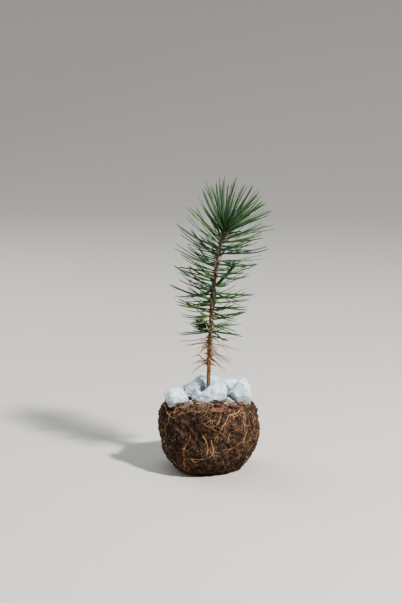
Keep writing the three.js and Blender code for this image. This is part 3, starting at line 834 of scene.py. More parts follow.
def stem_finish():
    """Orange-brown and bare at the foot, scaly brown in the middle, a pinkish purple above with pale
    lilac patches that are partly waxy bloom and partly painted highlight.
    """
    made = Finish("stem_bark", Specular_IOR_Level=0.3)
    climb = (made.height() - GROUND) * (1 / STEM_HEIGHT)
    climb = climb + (made.mottle(6) - 0.5) * 0.1
    tone = made.ramp(climb, STEM_TONES)
    # Pale lilac patches on the upper stem: partly waxy bloom, partly a painted highlight.
    bloom = made.between(made.mottle(3.5, stretch=(1, 1, 2.5)), 0.52, 0.66)
    bloom = bloom * made.between(climb, 0.5, 0.8)
    tone = made.mix(bloom * 0.55, tone, (0.46, 0.39, 0.44))
    scales = made.between(made.mottle(1.3, stretch=(1, 1, 0.5)), 0.5, 0.62)
    flake = made.mix(made.between(climb, 0.42, 0.6), (0.46, 0.34, 0.2), (0.2, 0.14, 0.14))
    tone = made.mix(scales * 0.5, tone, flake)
    rings = made.between(made.mottle(1.6, stretch=(3, 3, 0.32)), 0.56, 0.66)
    tone = made.mix(rings * 0.8, tone, (0.045, 0.022, 0.014))
    streaks = made.mottle(0.7, stretch=(1, 1, 7))
    tone = made.mix(streaks * 0.4, tone, (0.13, 0.07, 0.04))
    made.put({"Base_Color": tone, "Roughness": 0.5 + 0.35 * made.mottle(1.5)})
    made.bump(streaks * 0.6 + scales * 0.5 - rings * 0.6, 0.18)
    return made


def twig_finish(name, colour, dark):
    made = Finish(name, Specular_IOR_Level=0.25)
    streaks = made.mottle(0.9, stretch=(1, 1, 3))
    made.put({"Base_Color": made.mix(streaks, colour, dark), "Roughness": 0.6 + 0.3 * streaks})
    made.bump(streaks, 0.15)
    return made


def stone_finish(name, shade):
    """White broken stone: cool and crystalline, with grey patches and pits, and earth at its foot."""
    made = Finish(name, Specular_IOR_Level=0.4)
    tone = made.ramp(made.mottle(9, 6), STONE_TONES)
    tone = made.mix(shade, (0.7, 0.85, 0.965), tone)
    patches = made.between(made.mottle(2.6, 4, (1, 1, 1.5)), 0.52, 0.66)
    tone = made.mix(patches * shade * 0.55, tone, (0.34, 0.4, 0.45))
    pits = made.between(made.mottle(1.1, 4), 0.6, 0.7)
    tone = made.mix(pits * 0.5, tone, (0.24, 0.26, 0.275))
    veins = 1 - made.between(made.grains(9, "DISTANCE_TO_EDGE") + made.mottle(5) * 0.12, 0.07, 0.11)
    tone = made.mix(veins * 0.3, tone, (0.4, 0.45, 0.48))
    stain = made.between(made.mottle(14, 3, (1, 1, 2)), 0.58, 0.75)
    tone = made.mix(stain * 0.22, tone, (0.56, 0.55, 0.38))
    earth = made.between(made.height() + 7 * made.mottle(5), GROUND + 8, GROUND + 2.5)
    tone = made.mix(earth * 0.55, tone, (0.2, 0.14, 0.095))
    made.put({"Base_Color": tone, "Roughness": 0.45 + 0.4 * made.mottle(2.2)})
    made.bump(made.mottle(2.2, 6) * 1.4 + made.grains(0.8) * 0.3 - pits * 0.6, 0.7)
    return made


def soil_finish(name, dark, mid, pale):
    """Moist dark soil with paler grains and threads in it."""
    made = Finish(name, Specular_IOR_Level=0.2)
    clumps = made.mottle(5, 5)
    tone = made.ramp(clumps, [(0.36, dark), (0.52, mid), (0.68, pale)])
    grit = made.between(made.grains(1.1), 0.16, 0.08)
    tone = made.mix(grit * 0.5, tone, (0.3, 0.22, 0.15))
    made.put({"Base_Color": tone, "Roughness": 0.82 + 0.16 * clumps})
    made.bump(made.mottle(0.7, 5) * 1.2 + clumps * 0.8 - made.grains(0.9) * 0.5, 0.8)
    return made


def bark_finish(name, outer, inner, edge):
    """Bark: cork in thin layers, streaked along them."""
    made = Finish(name, Specular_IOR_Level=0.22)
    layers = made.mottle(1.1, 3, (4, 4, 0.5))
    clouds = made.mottle(4, 4)
    tone = made.mix(clouds, outer, inner)
    tone = made.mix(made.between(layers, 0.5, 0.68) * 0.7, tone, edge)
    made.put({"Base_Color": tone, "Roughness": 0.68 + 0.26 * layers})
    made.bump(layers + made.mottle(0.8, 4) * 0.8, 0.45)
    return made


# Needles.

NEEDLE_SECTION = np.array([
    (1, 0), (0.8, 0.52), (0.3, 0.82), (-0.3, 0.82), (-0.8, 0.52), (-1, 0), (0, 0.14),
])
NEEDLE_RINGS = np.array([0, 0.03, 0.1, 0.2, 0.3, 0.4, 0.5, 0.6, 0.7, 0.79, 0.87, 0.93, 0.97, 0.99, 1.0])
TIP_RINGS = 3
FLAT_FACES = 2
TWIN_OFFSET = 0.1
TWIST = 1.1
WAVE = 0.5
BEATS = (0.7, 1.5)


def needle_shape(arc, side, radius, rng, wave=WAVE):
    """Half round, its flat side towards its twin, a little twisted and wavy, with a fine tip."""
    t = NEEDLE_RINGS
    line, ahead = arc.points(t), arc.directions(t)
    beside = np.broadcast_to(arc.beside, line.shape)
    above = np.cross(ahead, beside)
    phase, beats = rng.uniform(0, 6.3, 2), rng.uniform(*BEATS, 2)
    swing = np.sin(beats[:, None] * 6.3 * t + phase[:, None]) * (t * (1.15 - t))[None] * 2.2 * wave
    line = line + beside * (swing[0] + side * TWIN_OFFSET)[:, None] + above * swing[1][:, None]
    twist = rng.uniform(-TWIST, TWIST) * t
    flat = beside * np.cos(twist)[:, None] + above * np.sin(twist)[:, None]
    edge = above * np.cos(twist)[:, None] - beside * np.sin(twist)[:, None]
    size = radius * (1 - 0.2 * t) * (1 - t**7) ** 0.5 * (0.72 + 0.28 * np.minimum(1, t / 0.1))
    return swept(line, -side * edge, side * flat, size, size, NEEDLE_SECTION)


def needle_finishes(back, flat, tip):
    """The finish of each face of a needle, on its round back, its flat side and its tip."""
    sides = len(NEEDLE_SECTION)
    walls = np.full((len(NEEDLE_RINGS) - 1, sides), back)
    walls[:, -FLAT_FACES:] = flat
    walls[-TIP_RINGS:] = tip
    return np.concatenate([walls.ravel(), np.full(sides, back), np.full(sides, tip)])


def add_needle(pile, arc, side, radius, rng, finishes, wave=WAVE):
    pile.add(*needle_shape(arc, side, radius, rng, wave), needle_finishes(*finishes))


SHEATH_SIDES = 9
SHEATH_STEPS = np.array([-0.9, 0.0, 1.0, 2.2, 3.2])
SHEATH_RADII = np.array([0.85, 0.98, 0.98, 0.86, 0.92])
SHEATH_LENGTHS = (0.85, 1.2)
SHEATH_WIDTHS = (0.9, 1.1)
SHEATH_FRAY = (-0.9, 0.7)
SHEATH_MOUTH = 1.4


def add_sheath(pile, pair, scale, rng, finish):
    """The papery sleeve that holds a pair together at its base, frayed at its mouth."""
    arc = pair[0]
    ahead = unit(sum(a.directions(np.array([0.02]))[0] for a in pair))
    start = sum(a.start for a in pair) / len(pair)
    line = start + np.outer(SHEATH_STEPS * scale * rng.uniform(*SHEATH_LENGTHS), ahead)
    across = unit(np.cross(ahead, arc.axis) if abs(ahead @ arc.axis) < 0.95 else np.cross(ahead, arc.out))
    across = np.broadcast_to(across, line.shape)
    above = np.cross(np.broadcast_to(ahead, line.shape), across)
    radii = SHEATH_RADII * scale * rng.uniform(*SHEATH_WIDTHS)
    corners, faces = swept(line, across, above, radii, radii, circle(SHEATH_SIDES))
    mouth = slice(-2 - SHEATH_SIDES, -2)
    corners[mouth] += ahead * rng.uniform(*SHEATH_FRAY, (SHEATH_SIDES, 1)) * scale
    corners[-1] -= ahead * SHEATH_MOUTH * scale
    pile.add(corners, faces, finish)


SCALE_STEPS = np.linspace(0, 1, 6)
SCALE_SIDES = 8
SCALE_THICKNESS = 0.09


def add_scale(pile, root, ahead, out, length, width, curl, finish):
    """A small dry leaf scale: a thin blade with a point, which faces out and curls that way."""
    t = SCALE_STEPS
    facing = unit(out - ahead * (out @ ahead))
    line = root + np.outer(t * length, ahead) + np.outer(curl * length * t**2, facing)
    across = np.broadcast_to(unit(np.cross(facing, ahead)), line.shape)
    above = np.cross(unit(np.gradient(line, axis=0)), across)
    widths = width * np.sin(math.pi * (0.18 + 0.8 * t)) ** 0.8
    depths = SCALE_THICKNESS * (1.2 - t)
    pile.add(*swept(line, across, above, widths, depths, circle(SCALE_SIDES)), finish)


# The share of each green and each sheath: at the foot of the foliage, at its top, in the side shoots.
GREEN_SHARES = [(0.26, 0.22, 0.0, 0.42, 0.1), (0.32, 0.26, 0.22, 0.2, 0.0), (0.25, 0.6, 0.15, 0.0, 0.0)]
SHEATH_SHARES = [(0.36, 0.32, 0.2, 0.0, 0.12), (0.2, 0.0, 0.12, 0.36, 0.32), (0.6, 0.1, 0.0, 0.3, 0.0)]
IN_SHOOTS = 0
TINTS_FROM, TINTS_OVER = 70, 60
# Radius of the needles and size of the sheaths.
TIER_SIZES, TUFT_SIZES, SHOOT_SIZES = (0.76, 0.95), (0.76, 0.85), (0.55, 0.5)
TUFT_TINTS = 160
# How far apart the filling pairs are and how far they wander, in the lowest tiers and above them.
LOW_TIERS = 3
TANGLED, COMBED = (0.72, 2.9), (1.3, 2.1)
FOLIAGE_SEED = 500
# Shares of the needles that keep their pair's tint, have a bloomed flat side, and have a brown tip.
OWN_TINT, BLOOMED = 0.6, 0.5
LOW_HEIGHT, BROWNED_LOW, BROWNED_HIGH = 100, 0.35, 0.06
NEEDLE_GIRTHS = (0.92, 1.06)


def dealt(shares, height, rng):
    """One of several finishes, drawn by the shares that they have at a height."""
    low, high, in_shoots = map(np.array, shares)
    climb = float(np.clip((height - TINTS_FROM) / TINTS_OVER, 0, 1))
    odds = in_shoots if height == IN_SHOOTS else low + (high - low) * climb
    return int(rng.choice(len(odds), p=odds))


def foliage():
    """Every mass of needles: name, pairs, the height that sets its tints, needle radius, sheath size."""
    masses = []
    for i in range(1, len(TIER_EDGES)):
        low, high, seed = TIER_EDGES[i - 1], TIER_EDGES[i], TIER_SEED + i
        habit = TANGLED if i <= LOW_TIERS else COMBED
        pairs = pairs_between(low, high, seed) + filling_pairs(low, high, seed, *habit)
        masses.append((f"needle_tier_{i}", pairs, (low + high) / 2, *TIER_SIZES))
    masses.append(("top_tuft", tuft_pairs(), TUFT_TINTS, *TUFT_SIZES))
    for index, shoot in enumerate(SHOOTS):
        pairs = shoot_pairs(index) + twig_pairs(index)
        masses.append((shoot[0] + "_tuft", pairs, IN_SHOOTS, *SHOOT_SIZES))
    return masses


def make_green_needles(masses, finishes, sheaths):
    """One piece of needles and one of sheaths and scales for each mass."""
    for number, (name, pairs, tint_height, radius, sheath) in enumerate(masses):
        rng = np.random.default_rng(FOLIAGE_SEED + number)
        needles, bases = Pile(), Pile()
        browning = BROWNED_LOW if tint_height < LOW_HEIGHT else BROWNED_HIGH

        def tinted(shares):
            return dealt(shares, tint_height, rng)

        for pair in pairs:
            tint = tinted(GREEN_SHARES)
            for arc in pair:
                side = -1 if arc is pair[0] else 1
                back = tint if rng.random() < OWN_TINT else tinted(GREEN_SHARES)
                tip = TIP_BROWN if rng.random() < browning else back
                flat = BLOOM if rng.random() < BLOOMED else back
                girth = radius * rng.uniform(*NEEDLE_GIRTHS)
                add_needle(needles, arc, side, girth, rng, (back, flat, tip))
            add_sheath(bases, pair, sheath, rng, tinted(SHEATH_SHARES))
            add_pair_scale(bases, pair, sheath, rng, tinted(SHEATH_SHARES))
        shoot = number - len(TIER_EDGES)
        if shoot >= 0:
            needles.reshape(shoot_bent, shoot)
            bases.reshape(shoot_bent, shoot)
        needles.piece(f"{name}_needles", finishes, "needles", [name])
        bases.piece(f"{name}_sheaths", sheaths, "dry_needles")


def add_pair_scale(pile, pair, size, rng, finish):
    """The scale leaf under a pair's sheath."""
    arc = pair[0]
    ahead = unit(arc.out * 0.55 + arc.axis * rng.uniform(0.5, 1.0))
    root = arc.start - arc.out * size - arc.axis * 0.9 * size
    length = rng.uniform(1.6, 2.8) * size
    add_scale(pile, root, ahead, arc.out, length, 0.62 * size, rng.uniform(-0.1, 0.35), finish)


# The stem.

STEM_SIDES = 60
STEM_RING_STEP = 0.45
RIDGE_LENGTH = 3.4
RIDGE_WIDTH = 0.62
RIDGE_HEIGHT = 0.4
RIDGE_TOP = 0.7
# Ring scars: from, to, count. A scar is a swelling over a groove, each with its height and its width.
SCARS = [(6, 40, 17), (40, 74, 12)]
SCAR_SWELL, SCAR_SWELL_WIDTH, SCAR_GROOVE, SCAR_GROOVE_WIDTH = 0.16, 0.4, 0.22, 0.28
BARK_SEED = 31
# Where this year's growth began the stem is thicker for a stretch.
YEAR_HEIGHT = 133
YEAR_STRETCH = 15
YEAR_SWELL = 0.5
STEM_TOP_LAP = 2.5


def pair_feet(pairs):
    """Height and azimuth of each pair's foot on the stem."""
    feet = []
    for pair in pairs:
        start = pair[0].start
        height = start[2] - GROUND
        middle = stem_at(height)
        feet.append((height, math.atan2(start[1] - middle[1], start[0] - middle[0])))
    return feet


def bell(offset, width):
    """1 in the middle, fading to 0 on both sides."""
    return np.exp(-((offset / width) ** 2))


def make_stem(feet, finish):
    """The stem with its bark: ridges that run down from each pair, ring scars and fissures below."""
    heights = np.arange(0, STEM_HEIGHT - BUD_LENGTH + STEM_TOP_LAP, STEM_RING_STEP)
    turns = np.arange(STEM_SIDES) * 2 * math.pi / STEM_SIDES
    level, turn = np.meshgrid(heights, turns, indexing="ij")
    radius = stem_radius(np.minimum(level, STEM_HEIGHT - BUD_LENGTH - 0.01))
    relief = np.zeros_like(level)
    for height, azimuth in feet:
        near = np.abs(heights - height) < 3 * RIDGE_LENGTH
        over = level[near] - height
        aside = (np.mod(turn[near] - azimuth + math.pi, 2 * math.pi) - math.pi) * radius[near]
        fade = bell(over, np.where(over > 0, RIDGE_TOP, RIDGE_LENGTH))
        relief[near] = np.maximum(relief[near], RIDGE_HEIGHT * fade * bell(aside, RIDGE_WIDTH))
    rng = np.random.default_rng(BARK_SEED)
    for height in np.concatenate([rng.uniform(*scars) for scars in SCARS]):
        over = level - height - 0.5 * np.sin(turn + rng.uniform(0, 6.3))
        part = 0.5 + 0.5 * np.tanh(3 * np.cos(turn - rng.uniform(0, 6.3)) + rng.uniform(-0.4, 2))
        swell_up = SCAR_SWELL * bell(over - 0.5, SCAR_SWELL_WIDTH)
        relief += (swell_up - SCAR_GROOVE * bell(over, SCAR_GROOVE_WIDTH)) * part
    plates = np.stack([np.cos(turn) * 3.2, np.sin(turn) * 3.2, level / 4.5], -1).reshape(-1, 3)
    flakes = np.stack([np.cos(turn) * 3, np.sin(turn) * 3, level], -1).reshape(-1, 3)
    bark = (rough(plates, 1.0, 3) * 0.15 + rough(flakes, 1.5, 2, 7.0) * 0.12).reshape(level.shape)
    woody = np.clip(1.25 - level / 150, 0.35, 1)
    buttress = 0.5 * np.exp(-level / 3.2) * (0.4 + np.cos(3 * turn + 0.6))
    swelling = YEAR_SWELL * bell(level - YEAR_HEIGHT, YEAR_STRETCH)
    reach = radius + relief + bark * woody + buttress + swelling
    middle = stem_at(level)
    corners = middle + np.stack([np.cos(turn) * reach, np.sin(turn) * reach, np.zeros_like(turn)], -1)
    ends = np.stack([stem_at(heights[0]), stem_at(heights[-1])])
    pile = Pile()
    pile.add(np.concatenate([corners.reshape(-1, 3), ends]), ring_faces(len(heights), STEM_SIDES))
    pile.piece("stem_with_bark", [finish], "stem_bark", ["stem"])


SCALE_SEED = 77
SCALES_FROM, SCALES_TO = 18, 190
SCALE_SINK = 0.15
DEAD_UP_TO = 76


def make_stem_scales(finishes):
    """Old leaf scales and torn sheaths that cling to the stem, thickest where the needles have died."""
    rng = np.random.default_rng(SCALE_SEED)
    pile = Pile()
    # Most of them sit on the bare stem and where the year began, with a few all the way up.
    heights = np.concatenate([
        rng.normal(55, 13, 170),
        rng.uniform(70, 188, 60),
        rng.normal(YEAR_HEIGHT, YEAR_STRETCH * 0.7, 70),
    ])
    for height in heights[(heights > SCALES_FROM) & (heights < SCALES_TO)]:
        direction = stem_direction(height)
        out, beside = square_to(direction, rng.uniform(0, 2 * math.pi))
        up, away, aside = rng.uniform(0.4, 1), rng.uniform(0.15, 0.9), rng.uniform(-0.4, 0.4)
        ahead = unit(direction * up + out * away + beside * aside)
        root = stem_at(height) + out * (stem_radius(height) - SCALE_SINK)
        longest, tints = (3.6, (0, 4)) if height < DEAD_UP_TO else (2.6, (2, 5))
        size = rng.uniform(1.2, longest)
        finish = int(rng.integers(*tints))
        add_scale(pile, root, ahead, out, size, rng.uniform(0.3, 0.6), rng.uniform(-0.2, 0.6), finish)
    pile.piece("stem_scales", finishes, "dry_needles")


# The small buds round the end bud: how many, their length and their radius.
SMALL_BUDS, SMALL_BUD_LENGTH, SMALL_BUD_RADIUS = 4, 4.6, 0.95
BUD_SEED = 12
BUD_POWER = 2.4
BUD_CORE = 0.86
BUD_SCALES = 46


def make_bud(finishes):
    """The end bud and the small buds round it, each clothed in scales that overlap upwards."""
    rng = np.random.default_rng(BUD_SEED)
    pile = Pile()
    axis = stem_direction(STEM_HEIGHT)
    foot = stem_at(STEM_HEIGHT - BUD_LENGTH + 0.5)
    buds = [(foot, axis, BUD_LENGTH - 1.0, BUD_RADIUS)]
    for i in range(SMALL_BUDS):
        out, _ = square_to(axis, i * 1.6 + 0.4)
        start = foot + out * 1.1 + axis * 0.4
        buds.append((start, unit(axis + out * 0.5), SMALL_BUD_LENGTH, SMALL_BUD_RADIUS))
    t = np.linspace(0, 1, 10)
    for start, line, length, radius in buds:
        shape = radius * np.sqrt(np.clip(1 - t**BUD_POWER, 0, 1)) * (0.75 + 0.25 * np.minimum(1, 4 * t))
        pile.add(*tube(start + np.outer(t * length, line), np.maximum(shape, 0.02) * BUD_CORE, 14), 0)
        for k in range(BUD_SCALES):
            share = (k / BUD_SCALES) ** 0.9 * BUD_CORE
            out, _ = square_to(line, k * GOLDEN_ANGLE)
            girth = radius * math.sqrt(max(0.03, 1 - share**BUD_POWER)) * BUD_CORE
            ahead = unit(line * (0.95 + 0.2 * share) - out * 0.35 * share + out * 0.12)
            root = start + line * share * length + out * girth
            curl = rng.uniform(-0.05, 0.15)
            add_scale(pile, root, ahead, out, length * 0.27, radius * 0.34, curl, int(rng.integers(2)))
    pile.piece("end_buds", finishes, "stem_bark")


# Side shoots, the dead twig and the dry needles.


TWIG_SEED = 90
TWIG_SCALES = 34
KNOTS = 0.13


def knotty(start, end, radii, sides, rng, bend=0.6, steps=14):
    """A twig from one point to another, a little bent and knotty."""
    t = np.linspace(0, 1, steps)
    line = start + np.outer(t, end - start)
    across, above = carried(line)
    bow = np.sin(math.pi * t) * rng.uniform(-bend, bend)
    sway = np.sin(2 * math.pi * t) * rng.uniform(-bend, bend) * 0.5
    line = line + across * bow[:, None] + above * sway[:, None]
    girth = np.interp(t, [0, 1], radii) * (1 + KNOTS * rng.uniform(-1, 1, steps))
    return tube(line, girth, sides)


def make_shoot_twigs(finishes):
    for index, (name, height, azimuth, rise, twig, _, length, _) in enumerate(SHOOTS):
        rng = np.random.default_rng(TWIG_SEED + index)
        start, line = limb_line(height, azimuth, rise)
        pile = Pile()
        root = start + line * stem_radius(height) * 0.6
        head = start + line * (twig + length * SHOOT_CORE + 1)
        pile.add(*knotty(root, head, (SHOOT_RADIUS * 1.25, SHOOT_TIP_RADIUS), 12, rng, 0.25, 22), 0)
        for k in range(TWIG_SCALES):
            share = (k + 0.5) / TWIG_SCALES
            out, _ = square_to(line, k * GOLDEN_ANGLE)
            ahead = unit(line + out * rng.uniform(0.1, 0.5))
            place = root + (head - root) * share + out * SHOOT_RADIUS * (1.1 - 0.35 * share)
            size, curl = rng.uniform(1.2, 2.2), rng.uniform(0, 0.3)
            add_scale(pile, place, ahead, out, size, 0.42, curl, 1 + int(rng.integers(2)))
        pile.reshape(shoot_bent, index)
        pile.piece(f"{name}_twig", finishes, "stem_bark", [name])


# The dead twig's hooked end, and the stubs on it: place along the twig, azimuth, rise and length.
DEAD_HOOK = np.array([-0.86, 0.2, -0.42]) * 9
DEAD_STUBS = [(0.45, 40, 55, 4.5), (0.62, 130, 20, 5.5), (0.9, 250, 35, 6), (0.97, 100, 70, 5)]
DEAD_SEED = 64
HOOK_RADII, STUB_RADII = (0.42, 0.2), (0.3, 0.16)


def make_dead_twig(finishes):
    """A bare twig with its broken spur and the stubs of smaller ones."""
    rng = np.random.default_rng(DEAD_SEED)
    pile = Pile()
    start, line = limb_line(DEAD_TWIG["height"], DEAD_TWIG["azimuth"], DEAD_TWIG["rise"])
    root = start + line * stem_radius(DEAD_TWIG["height"]) * 0.5
    tip = start + line * DEAD_TWIG["length"]
    pile.add(*knotty(root, tip, DEAD_TWIG["radii"], 10, rng, 0.5, 20), 0)
    knee = start + line * DEAD_TWIG["length"] * DEAD_SPUR["share"]
    turn, rise = radians(DEAD_SPUR["azimuth"]), radians(DEAD_SPUR["rise"])
    spur = np.array([math.cos(turn) * math.cos(rise), math.sin(turn) * math.cos(rise), math.sin(rise)])
    pile.add(*knotty(knee, knee + spur * DEAD_SPUR["length"], DEAD_SPUR["radii"], 9, rng, 0.4), 1)
    pile.add(*knotty(tip - line, tip + DEAD_HOOK, HOOK_RADII, 8, rng, 0.9), 0)
    for share, azimuth, rise, length in DEAD_STUBS:
        out, _ = square_to(line, radians(azimuth))
        stub = unit(out * math.cos(radians(rise)) + line * math.sin(radians(rise)))
        foot = start + line * DEAD_TWIG["length"] * share
        pile.add(*knotty(foot, foot + stub * length, STUB_RADII, 6, rng, 0.3, 9), int(rng.integers(2)))
    pile.piece("dead_twig_bare", finishes, "dead_wood", ["dead_twig"])


DRY_SHARES = (0.25, 0.43, 0.24, 0.08)
DRY_SAG = (0.0, 0.6)
DRY_FLOOR = GROUND + 33
# How far apart the loose dry pairs are, how far they wander and what share of their length is left.
DRY_LOOSE = (0.8, 2.8, (0.15, 0.9))
DRY_RADII = (0.34, 0.48)
DRY_SHEATH = 0.75
DRY_STUBS = 40
DRY_WAVE = 0.55


def make_dry_needles(finishes):
    """Dead needles that still hang on, some of them broken short, with their sheaths."""
    rng = np.random.default_rng(18)
    pile = Pile()
    pairs = pairs_between(*DRY_EDGES, DRY_SEED)
    loose = filling_pairs(*DRY_EDGES, DRY_SEED, *DRY_LOOSE)
    for pair in loose:
        sag = rng.uniform(*DRY_SAG) * (1 + 0.5 * pair[0].out[0])
        for arc in pair:
            arc.rise -= sag
            end = arc.points(np.array([1.0]))[0, 2]
            arc.length *= min(1, (arc.start[2] - DRY_FLOOR) / max(1, arc.start[2] - end))
    pairs += loose
    for pair in pairs:
        tint = int(rng.choice(4, p=DRY_SHARES))
        for arc in pair:
            side = -1 if arc is pair[0] else 1
            add_needle(pile, arc, side, rng.uniform(*DRY_RADII), rng, (tint, tint, 1), DRY_WAVE)
        add_sheath(pile, pair, DRY_SHEATH, rng, int(rng.integers(1, 3)))
    for _ in range(DRY_STUBS):
        height = rng.uniform(DRY_EDGES[0] - 3, DRY_EDGES[1] + 8)
        out, _ = square_to(stem_direction(height), rng.uniform(0, 2 * math.pi))
        start = stem_at(height) + out * stem_radius(height) * 0.9
        ahead = unit(out + np.array([0, 0, rng.uniform(-1.3, 0.9)]))
        end, radii = start + ahead * rng.uniform(3, 9), (rng.uniform(0.3, 0.55), 0.16)
        pile.add(*knotty(start, end, radii, 6, rng, 0.35, 9), int(rng.choice(4, p=DRY_SHARES)))
    pile.piece("dry_needles_hanging", finishes, "dry_needles", ["dry_needles"])
    return pairs


# Stones.

STONE_DETAIL = 6
FACET_POWER = 48
STONE_CHIPS = 32
CHIP_PLANES = (0.91, 0.985)
STONE_BEDDING = 0.36
# Up to which share of a stone's length its tail lifts, and over what share.
TAIL_END, TAIL_OVER = 0.3, 0.24
# How much lower the left end of a stone is, and how far along the stone that reaches.
STONE_SLOPES = {"stone_front": (0.62, 0.75), "stone_tall": (0.4, 0.75), "stone_back": (0.72, 0.48)}
STONE_TAIL = 6
TAIL_LIFTS = {"stone_front": 9.5}
GREY_STONES = ("stone_back", "stone_front", "stone_small")


def stone_shape(name, at, half, turn, tilt, sink, seed):
    """A ball cut by flat facets, chipped, roughened, drawn out, turned and bedded."""
    rng = np.random.default_rng(seed)
    random = seeded(seed)
    facets, depths = [], []
    for i in range(STONE_FACETS):
        climb = either((i + 0.5 + either(random()) * FACET_JITTER) / STONE_FACETS)
        angle = (i + either(random()) * FACET_JITTER) * GOLDEN_ANGLE
        flat = math.sqrt(1 - climb**2)
        facets.append((flat * math.cos(angle), flat * math.sin(angle), climb))
        depths.append(within(FACET_DEPTH, random()))
    ball, faces = icosphere(STONE_DETAIL)
    towards = ball @ np.array(facets).T / np.array(depths)
    reach = ((np.maximum(towards, 0) ** FACET_POWER).sum(1) + 1) ** (-1 / FACET_POWER)
    for _ in range(STONE_CHIPS):
        facing = ball @ unit(rng.normal(size=3))
        plane = reach[facing.argmax()] * rng.uniform(*CHIP_PLANES)
        reach = np.where(facing > 0.2, np.minimum(reach, plane / np.maximum(facing, 0.2)), reach)
    points = ball * reach[:, None] * np.array(half)
    lumps = rough(points, 8.0, 3, seed) * 0.8 + rough(points, 2.4, 3, seed + 5) * 0.4
    pits = np.minimum(0, rough(points, 1.7, 2, seed + 9) + 0.25)
    points += ball * (lumps + pits * 0.35)[:, None]
    place = Matrix.Translation((*at, BALL_HEIGHT - sink + half[2] * STONE_SINK_SHARE))
    place = place @ Matrix.Rotation(radians(turn), 4, "Z") @ Matrix.Rotation(radians(tilt), 4, "Y")
    points = moved(points, place)
    across = (points[:, 0] - points[:, 0].min()) / np.ptp(points[:, 0])
    share, far = STONE_SLOPES.get(name, (0, 1))
    fall = share * (0.5 + 0.5 * np.cos(math.pi * np.minimum(1, across / far)))
    points[:, 2] -= np.maximum(0, points[:, 2] - BALL_HEIGHT - STONE_TAIL) * fall
    tail = np.clip((TAIL_END - across) / TAIL_OVER, 0, 1)
    points[:, 2] += TAIL_LIFTS.get(name, 0) * tail**2 * (3 - 2 * tail)
    middle = points.mean(0)
    under = np.clip((middle[2] - points[:, 2]) / (middle[2] - points[:, 2].min()), 0, 0.93)
    spread = ((1 - under**2) ** -STONE_BEDDING)[:, None]
    points[:, :2] = middle[:2] + (points[:, :2] - middle[:2]) * spread
    low, high = np.array(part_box(name)) / MM
    points = low + (points - points.min(0)) / np.ptp(points, axis=0) * (high - low)
    return points, [faces]


def moved(points, matrix):
    """Points carried by a matrix."""
    table = np.array(matrix)
    return points @ table[:3, :3].T + table[:3, 3]


def icosphere(detail):
    work = bmesh.new()
    bmesh.ops.create_icosphere(work, subdivisions=detail, radius=1)
    corners = np.array([v.co for v in work.verts])
    faces = np.array([[v.index for v in f.verts] for f in work.faces])
    work.free()
    return corners, faces


def make_stones(white, grey):
    for stone in STONES:
        pile = Pile()
        pile.add(*stone_shape(*stone))
        finish = grey if stone[0] in GREY_STONES else white
        pile.piece(f"{stone[0]}_rough", [finish], "stones", [stone[0]])


# The root ball.

SOIL_COLUMNS = 400
FOOT_ROWS, UNDER_ROWS, TOP_ROWS = 12, 76, 104
# Nothing on the ball reaches lower than this.
SOIL_FLOOR = 0.02


